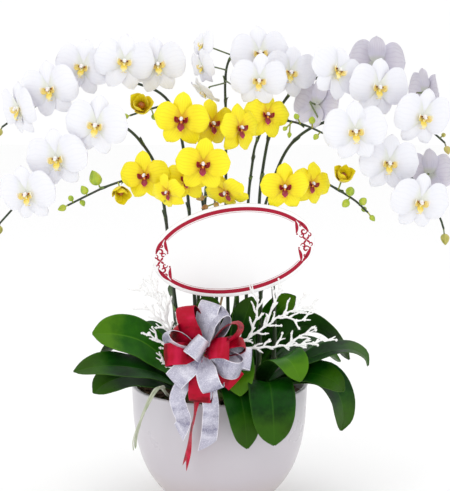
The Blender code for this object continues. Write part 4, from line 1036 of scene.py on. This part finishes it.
def spike(name):
    look, points, buds = SPIKES[name]
    yellow = name.startswith("yellow")
    rng = random.Random(name)
    path = spike_path(name)
    fine = resampled([vec(p) for p in points], step=0.006)
    last = len(fine) - 1
    # a swelling at each node, with a bract that clasps the stem
    total = sum((b - a).length for a, b in zip(fine, fine[1:]))
    nodes, at = [], 0.055
    while at < total - 0.03:
        nodes.append(at / total)
        at += rng.uniform(0.070, 0.095) if at / total < 0.62 else rng.uniform(0.028, 0.040)
    radii = []
    for i in range(last + 1):
        share = i / last
        r = stem_radius(share)
        for n in nodes:
            r += 0.0007 * math.exp(-(((share - n) * total / 0.0045) ** 2))
        radii.append(r)
    shape = Shape()
    shape.tube(rings_of(fine, radii, 12, profile=lambda a, i: 1 + 0.03 * math.cos(5 * a + i * 0.1)), 0)
    way = tangents(fine)
    for k, n in enumerate(nodes):
        i = min(last - 1, max(1, round(n * last)))
        d = way[i]
        side = d.orthogonal().normalized()
        side = Matrix.Rotation(k * 2.6 + rng.uniform(-0.3, 0.3), 3, d) @ side
        other = d.cross(side)
        r0 = radii[i] + 0.00025
        long = 0.013 if n < 0.62 else 0.0075
        rows = []
        for s in np.linspace(0, 1, 7):
            spread = 1.9 * (1 - s) ** 0.75 + 0.06
            r = r0 + 0.0022 * s * s * (1 if n < 0.62 else 1.2)
            rows.append([tuple(fine[i] + d * long * (s - 0.12) + (side * math.cos(b) + other * math.sin(b)) * r) for b in np.linspace(-spread, spread, 9)])
        shape.sheet(np.array(rows), 0.0005, 2, centred=0.0)
    for j, (x, y, z, size) in enumerate(buds):
        marks = bud_path(path, vec((x, y, z)), size * MM)
        if yellow and size >= 12:
            half_open(shape, marks, size * MM, rng, (3, 4))
        else:
            closed_bud(shape, marks, size * MM, rng, 6 if (yellow and "centre" in name) or (not yellow and size < 6) else 7)
    bud = BUD_GREEN if yellow else BUD_OLIVE
    shape.make(name + "_stem", [STEM, PEDICEL_YELLOW if yellow else PEDICEL, BRACT, YELLOW, YELLOW_BACK_SHADED, LIP_BROWN_SHADE, BUD_TAN if yellow else BUD_OLIVE, bud], [name], "stem", 55)


for name in SPIKES:
    spike(name)


# ================================================================ leaves
BLADE_AT = (0.0, 0.06, 0.16, 0.32, 0.50, 0.66, 0.80, 0.90, 0.96, 1.0)
BLADE_WIDE = (0.26, 0.34, 0.50, 0.80, 0.97, 1.0, 0.90, 0.68, 0.42, 0.05)


# blades whose upper faces take the lighter leaf material, painted light
PAINTED_LIT_BLADES = {("leaves_front_right", 72, -60), ("leaves_centre", 7, -52), ("leaves_front_left", -62, -54), ("leaves_back_right", 67, 56)}


def leaf_fan(name, crown, blades, root):
    rng = random.Random(name)
    shape = Shape()
    x, y = crown
    # the short stem, sheathed by old leaf bases
    ground = BARK_TOP * MM
    stem = [vec((x, y, BARK_TOP + 0.4)), vec((x, y, BARK_TOP + 12)), vec((x, y, BARK_TOP + 26)), vec((x, y, BARK_TOP + 35))]
    shape.tube(rings_of(resampled(stem, count=10), [0.0095, 0.0110, 0.0118, 0.0116, 0.0112, 0.0108, 0.0100, 0.0088, 0.0070, 0.0045], 14,
                        profile=lambda a, i: 1 + 0.05 * math.cos(2 * a + i * 0.4)), 3)
    for points, width, roll in blades:
        n, m = 34, 15
        path = resampled([vec(p) for p in points], count=n)
        way = tangents(path)
        flat = way[0].cross(Vector((0, 0, 1)))
        if flat.length < 0.2:
            flat = Vector((1, 0, 0))
        sides = carried(way, flat)
        half = width / 2 * MM
        phase, phase2 = rng.uniform(0, TAU), rng.uniform(0, TAU)
        rows, thick = [], []
        share = np.linspace(0, 1, n)
        wide = np.interp(share, BLADE_AT, BLADE_WIDE)
        wide[1:-1] = (wide[:-2] + 2 * wide[1:-1] + wide[2:]) / 4
        for i in range(n):
            s = share[i]
            side = Matrix.Rotation(math.radians(roll), 3, way[i]) @ sides[i]
            up = side.cross(way[i])
            w = half * wide[i]
            fold = 0.95 * math.exp(-s * 11) + 0.15 + 0.05 * math.sin(TAU * s * 0.7 + phase)
            row, tk = [], []
            for t in np.linspace(-1, 1, m):
                q = math.copysign(abs(t) ** 0.92, t)
                lift = fold * w * (abs(t) ** 1.35)
                ripple = 0.0016 * (abs(t) ** 3) * math.sin(TAU * 2.2 * s + (phase if t > 0 else phase2)) * min(1, s * 3)
                groove = -0.0010 * math.exp(-((t / 0.10) ** 2)) * (1 - 0.5 * s)
                row.append(tuple(path[i] + side * w * q * math.cos(fold * 0.35) + up * (lift + ripple + groove)))
                tk.append(0.0011 + 0.0016 * (1 - abs(t)) ** 0.8 * (1 - 0.5 * s) + 0.0012 * math.exp(-s * 14))
            rows.append(row)
            thick.append(tk)
        grid = np.array(rows)
        painted_lit = (name, points[0][0], points[0][1]) in PAINTED_LIT_BLADES
        top = 1 if painted_lit else 0
        # up is the upper face: rows run along the blade and t runs to the side, so the sheet's normal is way x side, which points down
        shape.sheet(grid, np.array(thick), 2, back=top, centred=0.5)
    if root:
        path = resampled([vec((x, y, BARK_TOP + 14)), *[vec(p) for p in root]], step=0.005)
        radii = [0.0029 - 0.0008 * i / (len(path) - 1) + 0.0002 * math.sin(i * 1.3) for i in range(len(path))]
        radii[-1] *= 0.45
        shape.tube(rings_of(path, radii, 10), 4)
        second = [p + Vector((0.0045 * math.sin(i * 0.16 + 0.4), -0.0035 - 0.002 * math.sin(i * 0.11), 0.004 * math.cos(i * 0.13))) for i, p in enumerate(path[len(path) // 3:])]
        shape.tube(rings_of(second, [0.0019 - 0.0009 * i / (len(second) - 1) for i in range(len(second))], 9), 4)
    shape.make(name + "_blades", [LEAF, LEAF_LIT, LEAF_UNDER, BRACT, ROOT], [name], "leaf", 50)


for name, (crown, blades, root) in PLANTS.items():
    leaf_fan(name, crown, blades, root)


# ================================================================ card and stake
CARD_CENTRE, CARD_HALF, CARD_THICK, CARD_TILT = (23, -125, 474), (0.134, 0.076), 0.0030, math.radians(8.5)
card_frame = Matrix.Translation(vec(CARD_CENTRE)) @ Matrix.Rotation(-CARD_TILT, 4, "Y") @ Matrix.Rotation(math.radians(90), 4, "X")


def oval(inset, a):
    return (CARD_HALF[0] - inset) * math.cos(a), (CARD_HALF[1] - inset) * math.sin(a)


def flat_band(shape, low, high, z0, z1, slot, spans=((0, TAU),), steps=180, edge=None):
    """A raised print between two insets of the oval."""
    for first, last in spans:
        closed = last - first > TAU - 1e-6
        count = max(8, round(steps * (last - first) / TAU))
        rings = []
        for k in range(count + (0 if closed else 1)):
            a = first + (last - first) * k / count
            share = k / count
            lo, hi = (low, high) if edge is None else edge(share, low, high)
            (xa, ya), (xb, yb) = oval(lo, a), oval(hi, a)
            rings.append([(xa, ya, z0), (xa, ya, z1), (xb, yb, z1), (xb, yb, z0)])
        if closed:
            rings.append(rings[0])
            shape.tube(np.array(rings), slot, caps=False)
        else:
            shape.tube(np.array(rings), slot)


def greeting_card():
    shape = Shape()
    half = CARD_THICK / 2
    # the board: a thin oval with eased edges, its core showing at the rim
    rows = []
    for z, inset in ((-half, 0.0007), (-half + 0.0003, 0.0002), (-half + 0.0007, 0.0), (half - 0.0007, 0.0), (half - 0.0003, 0.0002), (half, 0.0007), (half, 0.0030)):
        rows.append([(*oval(inset, TAU * k / 160), z) for k in range(160)])
    start = [[(*oval(0.0030, TAU * k / 160), -half) for k in range(160)]]
    shape.tube(np.array(start + rows), 0)
    shape.slots = [1 if 160 * 2 <= i < 160 * 5 else 0 for i in range(len(shape.slots))]
    face = half - 0.00005
    # an oval band in crimson, broken at each end by a panel of scrolls, then two fine lines
    gap = 0.53
    spans = ((gap, math.pi - gap), (math.pi + gap, TAU - gap))
    flat_band(shape, 0.0058, 0.0120, face, face + 0.00025, 2, spans)
    flat_band(shape, 0.0136, 0.0141, face, face + 0.00018, 3, spans)
    # end panels: two arcs that part from the band, scrolls between them, a cross of petals in the middle
    for middle in (0.0, math.pi):
        inward = 1 if middle == 0.0 else -1

        def at(inset, turn, middle=middle):
            return oval(inset, middle + turn)

        def stroke(points, radius, ends=0.35):
            path = [Vector((px, py, face + 0.00005)) for px, py in points]
            rows = []
            way = tangents(path)
            for i, p in enumerate(path):
                share = i / (len(path) - 1)
                w = radius * (ends + (1 - ends) * math.sin(math.pi * share))
                side_ = Vector((way[i].y, -way[i].x, 0)) * w
                top_ = Vector((0, 0, 0.00022))
                rows.append([tuple(p - side_), tuple(p - side_ * 0.6 + top_), tuple(p + side_ * 0.6 + top_), tuple(p + side_)])
            shape.tube(np.array(rows)[:, ::-1], 2)

        def scroll(centre, size, begin, turns, radius, count=22):
            points = []
            for k in range(count):
                q = k / (count - 1)
                r = size * (1 - 0.74 * q)
                b = begin + math.tau * turns * q
                points.append((centre[0] + r * math.cos(b), centre[1] + r * math.sin(b)))
            stroke(points, radius, 0.45)

        for sign in (-1, 1):
            stroke([at(0.0074 - 0.0012 * q, sign * (0.54 - 0.36 * q)) for q in np.linspace(0, 1, 16)], 0.0029, 0.30)
            stroke([at(0.0096 + 0.0150 * q**1.1, sign * (0.54 - 0.28 * q)) for q in np.linspace(0, 1, 16)], 0.0026, 0.32)
            out_way = 0.0 if inward > 0 else math.pi
            scroll(at(0.0125, sign * 0.235), 0.0056, out_way, -0.95 * sign * inward, 0.00150)
            scroll(at(0.0185, sign * 0.150), 0.0042, out_way + math.pi, 0.95 * sign * inward, 0.00125)
            scroll(at(0.0070, sign * 0.110), 0.0036, out_way + math.pi / 2 * sign, -0.85 * sign * inward, 0.00120)
            scroll(at(0.0100, sign * 0.385), 0.0030, out_way, 0.85 * sign * inward, 0.00115)
            cx, cy = at(0.0245, sign * 0.225)
            shape.blob((cx, cy, face + 0.0001), (0.0016, 0.0016, 0.0003), 2, 5, 8)
        cx, cy = at(0.0135, 0.0)
        for k in range(4):
            b = math.pi / 4 + math.pi / 2 * k
            px, py = cx + 0.0040 * math.cos(b), cy + 0.0040 * math.sin(b)
            turn = np.array(Matrix.Rotation(b, 3, "Z"))
            shape.blob((px, py, face + 0.0001), (0.0034, 0.0017, 0.0003), 2, 5, 10, turn)
        shape.blob((cx, cy, face + 0.0001), (0.0010, 0.0010, 0.0004), 2, 5, 8)
    shape.moved(card_frame)
    shape.make("oval_card", [CARD, CARD_EDGE, PRINT, PRINT, PRINT_PALE], ["greeting_card"], "card", 40)


greeting_card()

behind = CARD_CENTRE[1] * MM + CARD_THICK / 2 + 0.0020 + 0.0004
stake = Shape()
path = resampled([Vector((-0.038, -0.100, (BARK_TOP + 0.4) * MM)), Vector((0.006, behind, 0.402)), Vector((0.013, behind, 0.470))], count=40)
stake.tube(rings_of(path, [0.0020 + 0.00008 * math.sin(i * 0.9) for i in range(40)], 14), 0)
# a strip of clear-coated tape holds the card's back to the stake
tape_rows = [[(0.0125 + dx, behind + dy, 0.452 + dz) for dx, dy in ((-0.013, -0.0017), (-0.0035, -0.0012), (-0.0024, 0.0012), (0, 0.00235), (0.0024, 0.0012), (0.0035, -0.0012), (0.013, -0.0017))]
             for dz in np.linspace(0, 0.014, 5)]
stake.sheet(np.array(tape_rows), 0.0003, 1)
stake.make("card_dowel", [STAKE, CARD], ["card_stake"], "stake", 40)


# ================================================================ bow
KNOT = Vector((-26, -176, 314)) * MM


def band(points, widths, across, thickness=0.0006, fine=None):
    """A ribbon's surface: rows along the path, its width across each point. Returns (grid, along)."""
    grid, along = [], [0.0]
    for i, (p, w, side) in enumerate(zip(points, widths, across)):
        if i:
            along.append(along[-1] + (p - points[i - 1]).length)
        row = []
        for t in np.linspace(-1, 1, 9):
            row.append(tuple(p + side * t * w / 2))
        grid.append(row)
    return np.array(grid), along


def ribbon_sheet(shape, points, widths, sides, rng, slot=0, curl=0.0, thickness=0.0006, offset=0.0):
    """Adds the ribbon to the shape and returns its length."""
    grid, along = band(points, widths, sides)
    n, m, _ = grid.shape
    di, dj = np.gradient(grid, axis=0), np.gradient(grid, axis=1)
    normal = np.cross(di, dj)
    normal /= np.maximum(np.linalg.norm(normal, axis=2, keepdims=True), 1e-9)
    t = np.linspace(-1, 1, m)[None, :, None]
    share = (np.array(along) / along[-1])[:, None, None]
    squeeze = 1 - (np.array(widths) / max(widths))[:, None, None]
    phase = rng.uniform(0, TAU)
    grid = grid + normal * (curl * (t * t - 0.35) + squeeze * 0.004 * np.sin(t * 7.0 + phase) + 0.0007 * np.sin(share * 16 + phase) * t)
    base = len(shape.points)
    before = len(shape.uvs)
    # slot 1, the wrong side, takes the darker painted-shade material
    shape.sheet(grid, thickness, 1, u=(0.0, RIBBON), v=np.array(along) + offset, back=0)
    return along[-1]


def loop(shape, tip, facing, height, rng, width=0.036, fullness=1.0, start=0.0, slot=0):
    """One loop from the knot. tip is in millimetres from the knot, and facing is the way its opening looks."""
    end = vec(tip)
    length = end.length
    d = end.normalized()
    side = Vector(facing)
    side = (side - d * side.dot(d)).normalized()
    o = side.cross(d)
    n = 40
    points, widths, sides = [], [], []
    for k in range(n):
        q = TAU * k / (n - 1)
        x = (1 - math.cos(q)) / 2
        ease = math.sin(q / 2)
        y = math.sin(q) * (abs(ease) ** (1.1 / fullness))
        points.append(KNOT + d * length * (0.06 + 0.94 * x) + o * height * y * 0.62 + o * height * 0.0)
        grip = min(1.0, 0.34 + 1.5 * x)
        widths.append(width * grip)
        tilt = math.radians(rng.uniform(-1, 1) + 8 * math.sin(q))
        sides.append((Matrix.Rotation(tilt, 3, d) @ side).normalized())
    return ribbon_sheet(shape, points, widths, sides, rng, slot, curl=0.0010, offset=start)


RED_LOOPS = (
    # tip, facing, height
    ((-27, -2, 78), (0.80, -0.58, 0.20), 0.024),
    ((60, -6, 50), (-0.25, -0.95, 0.10), 0.026),
    ((40, -26, 14), (0.35, 0.30, 0.90), 0.026),
    ((-62, -14, 0), (0.25, -0.35, -0.90), 0.024),
    ((68, 0, 14), (0.85, -0.45, 0.10), 0.022),
    ((54, -10, -46), (-0.55, -0.30, -0.75), 0.020),
    ((-4, -14, -78), (0.90, -0.30, 0.0), 0.022),
    ((-10, 20, 70), (0.9, -0.35, 0.0), 0.026),
    ((-46, 8, 40), (0.5, -0.8, 0.4), 0.022),
)
SILVER_LOOPS = (
    ((14, 0, 84), (0.85, -0.45, 0.0), 0.022),
    ((36, -6, 72), (0.45, -0.85, 0.10), 0.030),
    ((-14, -38, 24), (0.62, 0.25, 0.75), 0.025),
    ((-60, -6, 34), (0.35, -0.85, 0.30), 0.026),
    ((62, -20, -20), (0.25, -0.55, 0.80), 0.032),
    ((-48, -14, -44), (0.70, -0.25, -0.66), 0.022),
    ((18, -24, -56), (0.85, -0.30, 0.35), 0.024),
    ((78, -4, -10), (0.1, -0.5, -0.85), 0.014),
)


def bow(name, loops, look, slot_name, seed):
    rng = random.Random(seed)
    shape = Shape()
    total = 0.0
    for tip, facing, height in loops:
        total += loop(shape, tip, facing, height, rng, start=total)
    return shape.make(name, look, ["ribbon_bow"], slot_name, 60), total


# each loop's wrong side is darkened with painted shade
red_bow, red_length = bow("bow_loops_red", RED_LOOPS, [RED, RED_WRONG_SIDE_SHADED], "red_ribbon", 5)
silver_bow, silver_length = bow("bow_loops_silver", SILVER_LOOPS, [SILVER, SILVER_WRONG_SIDE_SHADED], "silver_ribbon", 9)

# the wire that gathers the loops, and the pick that stands in the bark
pick = Shape()
pick.tube(rings_of(resampled([KNOT + Vector((0, 0.004, -0.004)), vec((-31, -152, 250)), vec((-40, -120, BARK_TOP + 1.4))], count=30), [0.0014] * 30, 10), 0)
for k in range(5):
    ring = [KNOT + Vector((0.0075 * math.cos(TAU * j / 28), 0.006 * math.sin(TAU * j / 28) + 0.001, 0.0016 * (k - 2) + 0.0004 * math.sin(j))) for j in range(28)]
    pick.tube(rings_of([*ring, ring[0]], [0.0007] * 29, 6), 0)
pick.make("bow_pick", [BRACT], ["ribbon_bow"], "silver_ribbon", 50)


def tail(name, points, look, width, roll, node_name, slot_name, notch, seed, up):
    """A tail from the knot, down in front of the bowl, with a notched or slanted end."""
    rng = random.Random(seed)
    pts = resampled([KNOT + Vector(up) * MM, *[vec(p) for p in points]], count=44)
    way = tangents(pts)
    flat = Vector((1, 0, 0))
    sides = carried(way, flat)
    shape = Shape()
    along = [0.0]
    for a, b in zip(pts, pts[1:]):
        along.append(along[-1] + (b - a).length)
    n, m = len(pts), 13
    rows = []
    for i in range(n):
        share = i / (n - 1)
        side = Matrix.Rotation(math.radians(roll) * min(1.0, share * 2.2), 3, way[i]) @ sides[i]
        up_ = side.cross(way[i])
        w = width * MM / 2 * min(1.0, 0.45 + 2.4 * share)
        row = []
        for t in np.linspace(-1, 1, m):
            p = pts[i] + side * t * w + up_ * (0.0016 * math.sin(share * 9 + seed) * t + 0.0022 * math.sin(share * 13 + seed) * share * (1 - t * t) + 0.0010 * t * t)
            if notch == "fish":
                cut = 0.016 * (1 - abs(t))
            else:
                cut = 0.011 * (t * notch + 1)
            p = p - way[i] * cut * max(0.0, (share - 0.80) / 0.20)
            row.append(tuple(p))
        rows.append(row)
    shape.sheet(np.array(rows), 0.0006, 0, u=(0.0, RIBBON), v=np.array(along))
    made = shape.make(name, [look], [node_name], slot_name, 60)
    return made, along[-1]


left_tail, left_length = tail("tail_silver_left", [(-66, -186, 250), (-64, -192, 226), (-58, -190, 204), (-70, -186, 174)], SILVER, 25, 12,
                              "ribbon_tail_left", "silver_ribbon", -1, 3, (-6, -2, -6))
right_tail, right_length = tail("tail_silver_right", [(-14, -190, 236), (-14, -192, 206), (-16, -184, 178), (-22, -176, 148)], SILVER, 27, -10,
                                "ribbon_tail_right", "silver_ribbon", 1, 4, (0, -2, -8))
red_tail, red_tail_length = tail("tail_red", [(-40, -186, 218), (-46, -186, 190), (-50, -178, 154), (-58, -170, 118)], RED, 17, 70,
                                 "ribbon_tail_red", "red_ribbon", "fish", 6, (-2, -1, -6))


# ================================================================ twigs
def twigs(name):
    rng = random.Random(name)
    shape = Shape()
    paths = []

    def knobbly(points, foot, tip, step=0.0035, sides=9):
        path = resampled(points, step=step)
        last = len(path) - 1
        wander = rng.uniform(0, TAU)
        bent = []
        way = tangents(path)
        for i, p in enumerate(path):
            side = way[i].orthogonal().normalized()
            other = way[i].cross(side)
            k = min(1, i / 4) * (0.0008)
            bent.append(p + side * k * math.sin(i * 0.9 + wander) + other * k * math.sin(i * 0.63 + wander * 2))
        radii = []
        for i in range(last + 1):
            share = i / last
            r = foot + (tip - foot) * share
            r *= 1 + 0.16 * math.sin(i * 1.7 + wander) * math.sin(i * 0.61) + rng.uniform(-0.05, 0.05)
            radii.append(max(r, 0.00055))
        radii[-1] *= 0.55
        shape.tube(rings_of(bent, radii, sides), 0)
        return bent

    def bud_knob(point, radius):
        shape.blob(tuple(point), (radius, radius * 0.85, radius * 1.15), 0, 5, 8)

    for points, foot, tip, parent in TWIGS[name]:
        path = [vec(p) for p in points]
        if parent is not None:
            path[0] = nearest(paths[parent], path[0])[0]
        rough = knobbly(path, foot * MM, tip * MM * 0.8)
        paths.append(rough)
        # side twigs, alternating, each with its own few knobs
        begin = 0.42 if parent is None else 0.22
        if parent is None and name.endswith("right"):
            begin = 0.36
        total = len(rough)
        at = int(total * begin)
        flip = 1
        while at < total - 2:
            way = (rough[min(at + 1, total - 1)] - rough[at - 1]).normalized()
            turn = flip * math.radians(rng.uniform(26, 48))
            axis = Vector((rng.uniform(-0.18, 0.18), -1, rng.uniform(-0.18, 0.18))).normalized()
            d = Matrix.Rotation(turn, 3, axis) @ way
            long = rng.uniform(0.011, 0.027) * (0.75 + 0.4 * (at / total))
            mid = rough[at] + d * long * 0.5 + Vector((0, 0, rng.uniform(0.0, 0.002)))
            end = rough[at] + d * long + Vector((0, 0, rng.uniform(-0.001, 0.004)))
            end.y = max(end.y, rough[at].y - 0.008)
            twig = knobbly([rough[at], mid, end], 0.0019, 0.0012, 0.003, 7)
            if rng.random() < 0.55:
                d2 = Matrix.Rotation(-turn * 0.8, 3, axis) @ d
                knobbly([mid, mid + d2 * long * 0.25, mid + d2 * long * 0.5], 0.0014, 0.0010, 0.003, 6)
            for p in twig[2::3]:
                bud_knob(p, rng.uniform(0.0015, 0.0022))
            flip = -flip
            at += rng.randint(2, 4)
        for p in rough[total // 2::4]:
            bud_knob(p, rng.uniform(0.0021, 0.0029))
    shape.make(name + "_sprays", [TWIG], [name], "painted_twig", 50)


for name in TWIGS:
    twigs(name)

# ================================================================ ribbon lengths, laid flat
print("flat lengths", round(red_length, 3), round(silver_length, 3), round(left_length, 3), round(right_length, 3), round(red_tail_length, 3))

# ================================================================ floor, light, camera
floor_mesh = bpy.data.meshes.new("studio_floor")
floor_mesh.from_pydata([(-6, -6, 0), (6, -6, 0), (6, 6, 0), (-6, 6, 0)], [], [(0, 1, 2, 3)])
floor = bpy.data.objects.new("studio_floor", floor_mesh)
bpy.context.scene.collection.objects.link(floor)
paper, tree, shader = new_material("studio_paper")
shader.inputs["Base Color"].default_value = (0.97, 0.97, 0.97, 1)
shader.inputs["Roughness"].default_value = 0.9
shader.inputs["Specular IOR Level"].default_value = 0.1
floor_mesh.materials.append(paper)

scene = bpy.context.scene
world = scene.world or bpy.data.worlds.new("World")
scene.world = world
world.use_nodes = True
background = world.node_tree.nodes["Background"]
background.inputs["Color"].default_value = (1.0, 1.0, 1.0, 1)
background.inputs["Strength"].default_value = 1.01


def lamp(name, place, target, size, power, colour=(1, 1, 1)):
    data = bpy.data.lights.new(name, "AREA")
    data.shape, data.size, data.energy, data.color = "DISK", size, power, colour
    made = bpy.data.objects.new(name, data)
    made.location = place
    made.rotation_euler = (Vector(target) - Vector(place)).to_track_quat("-Z", "Y").to_euler()
    scene.collection.objects.link(made)
    return made


lamp("key", (-1.2, -1.9, 2.1), (0, 0, 0.45), 1.0, 8, (1.0, 0.99, 0.97))
lamp("fill", (1.8, -1.5, 1.0), (0, 0, 0.45), 1.4, 2.5, (0.96, 0.98, 1.0))
lamp("top", (0.1, 0.5, 2.3), (0, 0, 0.5), 1.2, 4)

camera_data = bpy.data.cameras.new("Camera")
camera_data.sensor_width, camera_data.lens = 36.0, 106.57
camera = bpy.data.objects.new("Camera", camera_data)
camera.location = (0.0095, -2.46202, 0.89412)
camera.rotation_euler = (math.radians(80), 0, 0)
camera_data.clip_end = 50
scene.collection.objects.link(camera)
scene.camera = camera
scene.view_settings.view_transform = "Standard"
scene.view_settings.look = "None"
scene.view_settings.exposure = 0.0
